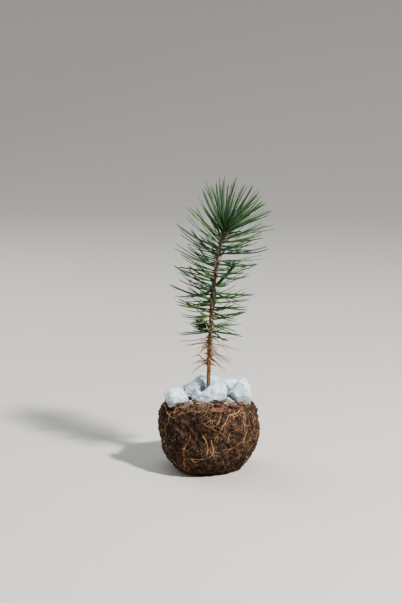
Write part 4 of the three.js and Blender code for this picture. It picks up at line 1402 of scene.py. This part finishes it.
class Soil:
    """The root ball's lumpy surface: rows of points from the middle of its foot to that of its top."""

    def __init__(self):
        profile = self.profile()
        steps = np.linalg.norm(np.diff(profile, axis=0), axis=1)
        self.run = np.concatenate([[0], np.cumsum(steps)])
        self.reach = profile[:, 0]
        turns = np.arange(SOIL_COLUMNS) * 2 * math.pi / SOIL_COLUMNS
        level, turn = np.meshgrid(profile[:, 1], turns, indexing="ij")
        reach = profile[:, :1] * (1 + self.wave(turn, level))
        smooth = np.stack([reach * np.cos(turn), reach * np.sin(turn), level], -1)
        normals = self.facing(smooth)
        flat = smooth.reshape(-1, 3)
        lumps = rough(flat, 17, 3) * 2.1 + clods(flat, 9) * 2.4 + rough(flat, 4.5, 4, 9.0) * 1.5
        lumps += clods(flat, 2.6) * 0.6
        lumps = lumps.reshape(level.shape) * np.clip(level / 9, 0.05, 1)
        self.points = smooth + normals * lumps[..., None]
        self.points[..., 2] = np.maximum(self.points[..., 2], 0)
        self.normals = self.facing(self.points)

    @staticmethod
    def wave(turn, level):
        """How much further out than its profile the ball reaches on one side."""
        return sum(
            share * np.sin(lobes * turn + phase + level / twist)
            for lobes, share, phase, twist in BALL_WAVES
        )

    @staticmethod
    def profile():
        """Reach and height along one side: the flat foot, the round under side and the flatter top."""
        foot = np.linspace(0.4, BALL_FOOT_RADIUS, FOOT_ROWS)
        last = math.acos((BALL_FOOT_RADIUS / BALL_RADIUS) ** (BALL_FOOT_POWER / 2))
        fall = np.linspace(last, 0, UNDER_ROWS)[1:]
        depth = BALL_WAIST / swell(BALL_FOOT_RADIUS, BALL_FOOT_POWER)
        rise = np.linspace(0, math.pi / 2, TOP_ROWS)[1:]
        under, over = 2 / BALL_FOOT_POWER, 2 / BALL_TOP_POWER
        reach = np.concatenate([
            foot,
            BALL_RADIUS * np.cos(fall) ** under,
            BALL_RADIUS * np.maximum(np.cos(rise), 1e-5) ** over,
        ])
        level = np.concatenate([
            np.zeros(FOOT_ROWS),
            BALL_WAIST - depth * np.sin(fall) ** under,
            BALL_WAIST + (BALL_HEIGHT - BALL_WAIST) * np.sin(rise) ** over,
        ])
        return np.stack([reach, level], -1)

    @staticmethod
    def facing(points):
        around = np.roll(points, -1, 1) - np.roll(points, 1, 1)
        upward = np.gradient(points, axis=0)
        return unit(np.cross(around, upward) + 1e-9)

    def at(self, turn, run):
        """A point and the way it faces, by azimuth and distance up from the middle of the foot."""
        column = (turn / (2 * math.pi) % 1) * SOIL_COLUMNS
        row = np.interp(run, self.run, np.arange(len(self.run)))
        i, j = np.minimum(row.astype(int), len(self.run) - 2), column.astype(int) % SOIL_COLUMNS
        up, on = (row - i)[..., None], (column - np.floor(column))[..., None]
        point = 0
        for beside, part in ((j, 1 - on), ((j + 1) % SOIL_COLUMNS, on)):
            for above, share in ((i, 1 - up), (i + 1, up)):
                point = point + share * part * self.points[above, beside]
        return point, self.normals[i, j]

    def on_top(self, x, y):
        """The point of the top that lies over a place."""
        turn = np.arctan2(y, x)
        reach = np.hypot(x, y) / (1 + self.wave(turn, BALL_HEIGHT))
        top = slice(FOOT_ROWS + UNDER_ROWS - 2, None)
        return self.at(turn, np.interp(reach, self.reach[top][::-1], self.run[top][::-1]))


def make_root_ball(soil, finish):
    pile = Pile()
    ends = np.stack([soil.points[0].mean(0), soil.points[-1].mean(0)])
    pile.add(np.concatenate([soil.points.reshape(-1, 3), ends]), ring_faces(len(soil.run), SOIL_COLUMNS))
    pile.piece("root_ball_earth", [finish], "root_ball_soil", ["root_ball"])


def scattered(soil, count, rng, low=0.16, high=1.0):
    """Random places on the surface, evenly spread between two shares of its run."""
    total = soil.run[-1]
    turns, runs = [], []
    while len(turns) < count:
        run = rng.uniform(low, high) * total
        if rng.random() < np.interp(run, soil.run, soil.reach) / BALL_RADIUS:
            turns.append(rng.uniform(0, 2 * math.pi))
            runs.append(run)
    return np.array(turns), np.array(runs)


def above_floor(shapes):
    """Points of a piece on the ball, with none under its foot."""
    shapes[..., 2] = np.maximum(shapes[..., 2], SOIL_FLOOR)
    return shapes


# Sorts of crumb: fineness of the mesh, number and radii.
CRUMB_SORTS = [(1, 5200, (0.25, 0.8)), (2, 420, (0.7, 1.6))]
CRUMB_SEED, HAIR_SEED, ROOT_SEED = 401, 512, 733
CRUMB_BUMPS, CRUMB_LIFT = 0.28, 0.3


def make_crumbs(soil, finishes):
    """Crumbs of soil all over the ball, fine and coarse."""
    rng = np.random.default_rng(CRUMB_SEED)
    pile = Pile()
    for detail, count, sizes in CRUMB_SORTS:
        ball, faces = icosphere(detail)
        turns, runs = scattered(soil, count, rng)
        points, normals = soil.at(turns, runs)
        radii = within(sizes, rng.random(count) ** 2.2)
        bumps = 1 + CRUMB_BUMPS * rng.uniform(-1, 1, (count, len(ball), 1))
        shapes = ball[None] * bumps * rng.uniform(0.65, 1.15, (count, 1, 3)) * radii[:, None, None]
        shapes = shapes + (points + normals * radii[:, None] * CRUMB_LIFT)[:, None]
        pile.add_many(above_floor(shapes), faces, rng.integers(len(finishes), size=count))
    pile.piece("soil_crumbs", finishes, "root_ball_soil", crease=40)


ROOT_STEP = 1.5
# How strongly a root turns downwards at each step, and how far from the middle of the top it stays.
ROOT_PULL = 0.05
ROOT_BARE_TOP = 14
SMOOTHING = (0.25, 0.5, 0.25)


def root_line(soil, turn, run, heading, length, wander, rng, lift):
    """A root's way over the surface, which turns a little at each step."""
    places = []
    for _ in range(int(length / ROOT_STEP)):
        places.append((turn, run))
        heading += rng.normal(0, wander)
        heading += ROOT_PULL * math.sin(-math.pi / 2 - heading)
        reach = max(6, float(np.interp(run, soil.run, soil.reach)))
        turn += ROOT_STEP * math.cos(heading) / reach
        run += ROOT_STEP * math.sin(heading)
        run = float(np.clip(run, soil.run[FOOT_ROWS], soil.run[-1] - ROOT_BARE_TOP))
    turns, runs = np.array(places).T
    points, normals = soil.at(turns, runs)
    padded = np.pad(points, ((1, 1), (0, 0)), mode="edge")
    points = sum(weight * padded[i:i + len(points)] for i, weight in enumerate(SMOOTHING))
    return points + normals * lift, places


HAIR_COUNT = 900
HAIR_SPREAD = (0.2, 0.84)
HAIR_LENGTHS, HAIR_RADII, HAIR_END = (4.5, 15), (0.1, 0.17), 0.05
HAIR_WANDER, HAIR_LIFT = 0.4, 0.12


def make_root_hairs(soil, finishes):
    """A mat of short hair roots, all over the ball."""
    rng = np.random.default_rng(HAIR_SEED)
    pile = Pile()
    for turn, run in zip(*scattered(soil, HAIR_COUNT, rng, *HAIR_SPREAD)):
        length = rng.uniform(*HAIR_LENGTHS)
        heading = rng.uniform(-3.1, 0)
        line, _ = root_line(soil, turn, run, heading, length, HAIR_WANDER, rng, HAIR_LIFT)
        if len(line) > 2:
            radii = np.linspace(rng.uniform(*HAIR_RADII), HAIR_END, len(line))
            shape, faces = tube(line, radii, 4)
            pile.add(above_floor(shape), faces, int(rng.integers(len(finishes))))
    pile.piece("root_hairs", finishes, "root_ball_soil")


ROOT_COUNT = 72
ROOT_LENGTHS = (30, 95)
ROOT_RADII = [0.24, 0.36, 0.5, 0.72]
# Mostly down the side of the ball, some of them more along it.
ROOT_HEADINGS = [-1.57, -1.1, -2.0, -0.3, -2.9]
# By how often a root has branched: its sides, and the least and the most branches off it.
ROOT_LEVELS = [(7, 3, 8), (5, 0, 3), (5, 0, 0)]
ROOT_WANDER, BRANCH_WANDER, ROOT_LIFT = 0.22, 0.1, 0.25
ROOT_TAPER, ROOT_KNOTS, SHORTEST_ROOT = 0.72, 0.12, 5
THIN_ROOT, PALE_SHARE = 0.3, 0.3


def make_roots(soil, finishes):
    """Fine roots that hold the ball together: main ones over its sides, with thinner ones off them."""
    rng = np.random.default_rng(ROOT_SEED)
    pile = Pile()

    def add_root(turn, run, heading, length, radius, level):
        wander = ROOT_WANDER + BRANCH_WANDER * level
        line, places = root_line(soil, turn, run, heading, length, wander, rng, radius * ROOT_LIFT)
        if len(line) < SHORTEST_ROOT:
            return
        t = np.linspace(0, 1, len(line))
        radii = radius * (1 - ROOT_TAPER * t) * (1 + ROOT_KNOTS * rng.uniform(-1, 1, len(line)))
        sides, fewest, most = ROOT_LEVELS[level]
        shape, faces = tube(line, radii, sides)
        pale = PALE_SHARE if radius < THIN_ROOT else 0.0
        pile.add(above_floor(shape), faces, int(rng.choice(3, p=(0.5, 0.5 - pale, pale))))
        if most:
            for _ in range(rng.integers(fewest, most)):
                at = places[rng.integers(2, len(places))]
                side = heading + rng.choice([-1, 1]) * rng.uniform(0.5, 1.3)
                add_root(*at, side, length * rng.uniform(0.2, 0.5), radius * 0.5, level + 1)

    for i in range(ROOT_COUNT):
        turn = i * GOLDEN_ANGLE + rng.uniform(-0.2, 0.2)
        run = soil.run[-1] * rng.uniform(0.3, 0.86)
        heading = rng.choice(ROOT_HEADINGS) + rng.uniform(-0.3, 0.3)
        add_root(turn, run, heading, rng.uniform(*ROOT_LENGTHS), rng.choice(ROOT_RADII), 0)
    pile.piece("fine_roots", finishes, "root_ball_soil")


# Bark chips and litter.


def plate(outline, levels):
    """A flat body from an outline: rings of it, each with a size and a height, closed at both faces."""
    rings = [np.insert(outline * size, 2, height, axis=1) for size, height in levels]
    ends = [[0, 0, levels[0][1]], [0, 0, levels[-1][1]]]
    return np.concatenate([*rings, ends]), ring_faces(len(levels), len(outline))


def ragged(corners, points, rng, amount):
    """An outline with more points, its edge broken up."""
    closed = np.vstack([corners, corners[:1]])
    place = np.linspace(0, len(corners), points, endpoint=False)
    outline = np.stack([np.interp(place, np.arange(len(closed)), closed[:, k]) for k in (0, 1)], -1)
    return outline * (1 + amount * (rng.random((points, 1)) - 0.6))


def add_bark(pile, corners, thickness, layers, points, place, rng, finish):
    """A chip of bark in thin layers, each with its own ragged edge, rough on both faces."""
    curve = rng.uniform(-0.004, 0.012)
    longest = np.abs(corners).max()
    for k in range(layers):
        low, high = thickness * k / layers, thickness * (k + 1) / layers * 1.04
        shrink = rng.uniform(0.84, 1.0) - 0.05 * abs(k - layers / 2)
        outline = ragged(corners, points, rng, 0.09) * shrink
        lip = (high - low) * 0.22
        shape, faces = plate(outline, [
            (0.5, low), (0.96, low), (1.0, low + lip),
            (1.0, high - lip), (0.95, high), (0.74, high), (0.4, high),
        ])
        size = min(3.4, longest * 0.4)
        relief = rough(shape, size, 3, k * 3.7 + longest) * thickness * 0.09
        shape[:, 2] += relief + curve * shape[:, 0] ** 2
        shape[:, :2] += rough(shape, size * 0.6, 2, k * 5.1)[:, None] * longest * 0.025
        pile.add(moved(shape, place), faces, finish)


BARK_LAYER = 1.05
BARK_CREASE = 38
CHIP_POINTS = 64


def make_bark_chips(chips, finishes):
    for number, chip in enumerate(chips, 1):
        random = seeded(chip["seed"])
        corners = []
        for i in range(CHIP_CORNERS):
            turn = (i + CORNER_JITTER * either(random())) / CHIP_CORNERS * 2 * math.pi
            depth = within(CORNER_DEPTH, random())
            x, y = math.cos(turn) * chip["length"] / 2 * depth, math.sin(turn) * chip["width"] / 2 * depth
            corners.append((x, y))
        rng = np.random.default_rng(chip["seed"])
        pile = Pile()
        layers = max(3, round(chip["thickness"] / BARK_LAYER))
        add_bark(pile, np.array(corners), chip["thickness"], layers, CHIP_POINTS, chip["place"], rng, 0)
        bark, node = finishes[number % len(finishes)], f"bark_chip_{number}"
        pile.piece(node + "_layers", [bark], "bark_chips", [node], BARK_CREASE)


def lying(soil, x, y, heading, tilt, rng, sink):
    """The matrix that lays a piece on the soil at a place."""
    point, normal = soil.on_top(np.array(x), np.array(y))
    up = Vector(unit(normal + np.array([0, 0, 0.6])))
    turn = up.to_track_quat("Z", "Y").to_matrix().to_4x4()
    lean = Matrix.Rotation(rng.uniform(-tilt, tilt), 4, "X")
    lean = lean @ Matrix.Rotation(rng.uniform(-tilt, tilt), 4, "Y")
    return Matrix.Translation(Vector(point) - up * sink) @ turn @ Matrix.Rotation(heading, 4, "Z") @ lean


# Broken pieces of stone: place and size.
STONE_FRAGMENTS = [
    (22.5, -15.5, 6.0), (26.5, -21, 4.2), (20.5, -22.5, 3.0), (31, -25.5, 2.4),
    (-20, -27, 3.4), (-25.5, -4, 4.0), (24, 6, 4.5), (8, 4, 2.6),
]
GRIT_COUNT = 34
GRIT_SIZES = (0.7, 1.7)
GRIT_FACETS = 7
GRIT_LIMIT = 44
LITTER_SEED = 909
BIT_COUNT, STICK_COUNT, THREAD_COUNT, FALLEN_COUNT = 330, 15, 260, 34
# Share of a stone's room that litter keeps clear of.
LITTER_CLEARANCE = 0.72
BIT_POINTS = 15
STICK_LENGTHS, THREAD_LENGTHS, FALLEN_LENGTHS = (9, 26), (5, 17), (15, 34)
THREAD_RADII, FALLEN_RADIUS = (0.12, 0.26), 0.42
# How each sort lies: the room that it needs, how far out it may be, its tilt and its sink.
STICK_BED, THREAD_BED, FALLEN_BED = (1.5, 37, 0.12, -0.9), (0.5, 48, 0.1, -0.35), (3, 38, 0.1, -0.6)
STRAND = np.linspace(-0.5, 0.5, 9)
STRAND_LIFT, THREAD_BOW, FALLEN_BOW = 0.5, 0.3, 0.09


def make_litter(soil, taken, barks, wood, fibres, straws, stone):
    """Small bark, sticks and fibres on the top, between the stones and the chips."""
    rng = np.random.default_rng(LITTER_SEED)
    stones = taken[:1 + len(STONE_SPOTS) * len(STONES)]
    bits, sticks, threads, fallen, grit = Pile(), Pile(), Pile(), Pile(), Pile()

    def free_place(room, limit):
        while True:
            reach, turn = limit * math.sqrt(rng.random()), rng.uniform(0, 2 * math.pi)
            x, y = reach * math.cos(turn), reach * math.sin(turn)
            clear = all(
                math.hypot(x - tx, y - ty) > tr * LITTER_CLEARANCE + room
                for tx, ty, tr in stones[1:]
            )
            if clear and math.hypot(x, y) > STEM_FOOT_RADIUS + FLARE + room * 0.6:
                return x, y

    def strand(length, bow, lift):
        """A thin line that bows to one side."""
        aside = rng.uniform(-bow, bow) * length * (STRAND**2 * 4 - 0.5)
        return np.stack([STRAND * length, aside, lift], -1)

    def laid(room, limit, tilt, sink):
        """The matrix of a piece that lies anywhere there is room for it, turned any way."""
        return lying(soil, *free_place(room, limit), rng.uniform(0, 2 * math.pi), tilt, rng, sink)

    for _ in range(BIT_COUNT):
        length = rng.uniform(3, 10.5) * rng.uniform(0.6, 1)
        width = length * rng.uniform(0.35, 0.75)
        turns = np.sort(rng.uniform(0, 2 * math.pi, 6)) + np.arange(6) * 0.02
        corners = np.stack([np.cos(turns) * length / 2, np.sin(turns) * width / 2], -1)
        place = lying(soil, *free_place(length * 0.25, 50), rng.uniform(0, math.pi), 0.35, rng, 0.35)
        thickness, layers = rng.uniform(0.9, 2.4), int(rng.integers(1, 3))
        finish = int(rng.integers(len(barks)))
        add_bark(bits, corners, thickness, layers, BIT_POINTS, place, rng, finish)
    for _ in range(STICK_COUNT):
        half = np.array([rng.uniform(*STICK_LENGTHS) / 2, 0, 0])
        place = laid(*STICK_BED)
        radii = (rng.uniform(0.6, 1.1), rng.uniform(0.35, 0.7))
        shape, faces = knotty(-half, half, radii, 9, rng, 0.7, 16)
        sticks.add(moved(shape, place), faces, int(rng.integers(len(wood))))
    for _ in range(THREAD_COUNT):
        line = strand(rng.uniform(*THREAD_LENGTHS), THREAD_BOW, STRAND_LIFT * np.cos(STRAND * 6))
        line = moved(line, laid(*THREAD_BED))
        shape, faces = tube(line, np.full(len(STRAND), rng.uniform(*THREAD_RADII)), 5)
        threads.add(shape, faces, int(rng.integers(len(fibres))))
    for _ in range(FALLEN_COUNT):
        lift = np.full(len(STRAND), STRAND_LIFT)
        line = strand(rng.uniform(*FALLEN_LENGTHS), FALLEN_BOW, lift)
        line = moved(line, laid(*FALLEN_BED))
        shape, faces = tube(line, FALLEN_RADIUS * np.sqrt(1.02 - (STRAND + 0.5) ** 4), 6)
        fallen.add(shape, faces, int(rng.integers(len(straws))))
    ball, ball_faces = icosphere(3)
    pieces = list(STONE_FRAGMENTS)
    while len(pieces) < GRIT_COUNT:
        beside = stones[rng.integers(1, len(stones))]
        turn, reach = rng.uniform(0, 2 * math.pi), beside[2] + rng.uniform(0, 3)
        x, y = beside[0] + reach * math.cos(turn), beside[1] + reach * math.sin(turn)
        clear = all(math.hypot(x - tx, y - ty) > tr * 0.9 for tx, ty, tr in stones)
        if clear and math.hypot(x, y) < GRIT_LIMIT:
            pieces.append((x, y, rng.uniform(*GRIT_SIZES)))
    for x, y, size in pieces:
        reach = np.full(len(ball), 1.3)
        for _ in range(GRIT_FACETS):
            facing = ball @ unit(rng.normal(size=3))
            plane = rng.uniform(0.45, 0.85) / np.maximum(facing, 0.15)
            reach = np.where(facing > 0.15, np.minimum(reach, plane), reach)
        shape = ball * reach[:, None] * size * rng.uniform((0.9, 0.8, 0.5), (1.5, 1.1, 0.75))
        shape += ball * rough(shape + x, size * 0.7, 2)[:, None] * size * 0.07
        place = lying(soil, x, y, rng.uniform(0, 2 * math.pi), 0.5, rng, -0.2 * size)
        grit.add(moved(shape, place), [ball_faces])
    fallen.piece("fallen_needles", straws, "dry_needles")
    grit.piece("stone_grit", [stone], "stones", crease=30)
    bits.piece("bark_litter", barks, "bark_chips", crease=BARK_CREASE)
    sticks.piece("litter_sticks", wood, "dead_wood")
    threads.piece("litter_fibres", fibres, "dead_wood")


# The studio.


def make_camera():
    elevation = radians(CAMERA_ELEVATION)
    aim = Vector(CAMERA_AIM) * MM
    camera = in_scene("camera", bpy.data.cameras.new("camera"))
    camera.data.lens = CAMERA_LENS
    camera.data.clip_end = CAMERA_SIGHT
    away = Vector((0, -math.cos(elevation), math.sin(elevation)))
    camera.location = aim + away * CAMERA_DISTANCE * MM
    camera.rotation_euler = (-away).to_track_quat("-Z", "Y").to_euler()
    bpy.context.scene.camera = camera


def make_lamp(name, place, aim, power, size, colour):
    lamp = bpy.data.lights.new(name, "AREA")
    lamp.energy, lamp.size, lamp.color = power, size, colour
    made = in_scene(name, lamp)
    made.location = place
    made.rotation_euler = (Vector((0, 0, aim)) - Vector(place)).to_track_quat("-Z", "Y").to_euler()


# The studio, in metres and watts. Lamps: name, place, height of their aim, power, size, colour.
LAMPS = [
    ("key_light", (1.13, -0.96, 1.69), 0.2, 94, 0.16, (1, 0.96, 0.905)),
    ("fill_light", (-1.2, 0.9, 1.1), 0.2, 16, 1.3, (0.94, 0.97, 1)),
    ("top_light", (-0.1, 0.7, 2.7), 0.15, 22, 1.5, (1, 1, 1)),
]
FLOOR_COLOUR = (0.5, 0.49, 0.47)
FLOOR_MIDDLE = 0.5
FLOOR_REACH = 1.9
FLOOR_SIDES = 96
SWEEP_RADIUS = 1.9
SWEEP_STEPS = 14
WALL_HEIGHT = 2.0
AIR_COLOUR = (0.93, 0.95, 1, 1)
AIR_STRENGTH = 0.2


def make_studio():
    """A pale floor that sweeps up into a wall all round, with a key light from the right.

    A fill light stands behind on the left, and another light hangs above.
    """
    turn = np.linspace(0, math.pi / 2, SWEEP_STEPS)
    sweep = FLOOR_REACH + SWEEP_RADIUS * np.sin(turn)
    reach = np.concatenate([[FLOOR_MIDDLE], sweep, [FLOOR_REACH + SWEEP_RADIUS]])
    level = np.concatenate([[0], SWEEP_RADIUS * (1 - np.cos(turn)), [WALL_HEIGHT]])
    around = circle(FLOOR_SIDES)
    rings = [np.concatenate([around * r, np.full((FLOOR_SIDES, 1), z)], -1) for r, z in zip(reach, level)]
    walls, middle, _ = ring_faces(len(reach), FLOOR_SIDES)
    mesh = bpy.data.meshes.new("studio_floor")
    mesh.from_pydata([*np.concatenate(rings), (0, 0, 0)], [], [*walls.tolist(), *middle.tolist()])
    mesh.shade_smooth()
    mesh.materials.append(plain_finish("studio_floor", FLOOR_COLOUR, 0.2, 0.75, 0.1, 40).material)
    in_scene("studio_floor", mesh)
    for lamp in LAMPS:
        make_lamp(*lamp)
    world = bpy.data.worlds.new("studio_air")
    world.use_nodes = True
    air = world.node_tree.nodes["Background"]
    air.inputs["Color"].default_value = AIR_COLOUR
    air.inputs["Strength"].default_value = AIR_STRENGTH
    bpy.context.scene.world = world
    bpy.context.scene.view_settings.look = "AgX - Medium High Contrast"


# The whole plant.


def build():
    make_camera()
    make_studio()
    sheaths = family(papery_finish, "sheath", SHEATHS)
    straws = family(papery_finish, "dry", STRAWS)
    masses = foliage()
    make_green_needles(masses, family(needle_finish, "needle", NEEDLES), sheaths)
    dry_pairs = make_dry_needles(straws)
    on_stem = [pair for name, pairs, *_ in masses if name.startswith("needle_tier") for pair in pairs]
    make_stem(pair_feet(on_stem + dry_pairs), stem_finish())
    twig_scales = [sheaths[0], sheaths[3]]
    make_stem_scales([*straws[:3], *twig_scales])
    make_bud(family(papery_finish, "bud", BUDS))
    make_shoot_twigs([twig_finish("twig_bark", (0.24, 0.15, 0.08), (0.1, 0.06, 0.035)), *twig_scales])
    make_dead_twig(family(twig_finish, "dead", DEAD_WOOD))
    grey_stone = stone_finish("grey_white_stone", 0.95)
    make_stones(stone_finish("white_stone", 0.45), grey_stone)

    soil = Soil()
    earth = soil_finish("moist_soil", (0.018, 0.011, 0.008), (0.05, 0.03, 0.021), (0.1, 0.064, 0.043))
    make_root_ball(soil, earth)
    make_crumbs(soil, family(soil_finish, "crumb", CRUMBS))
    roots = family(papery_finish, "root", ROOTS)
    make_roots(soil, roots)
    make_root_hairs(soil, roots)
    chips, taken = chip_places()
    barks = family(bark_finish, "bark", BARKS)
    make_bark_chips(chips, barks)
    wood, fibres = family(twig_finish, "stick", STICKS), family(papery_finish, "fibre", FIBRES)
    make_litter(soil, taken, barks, wood, fibres, straws, grey_stone)


build()
bpy.context.view_layer.update()
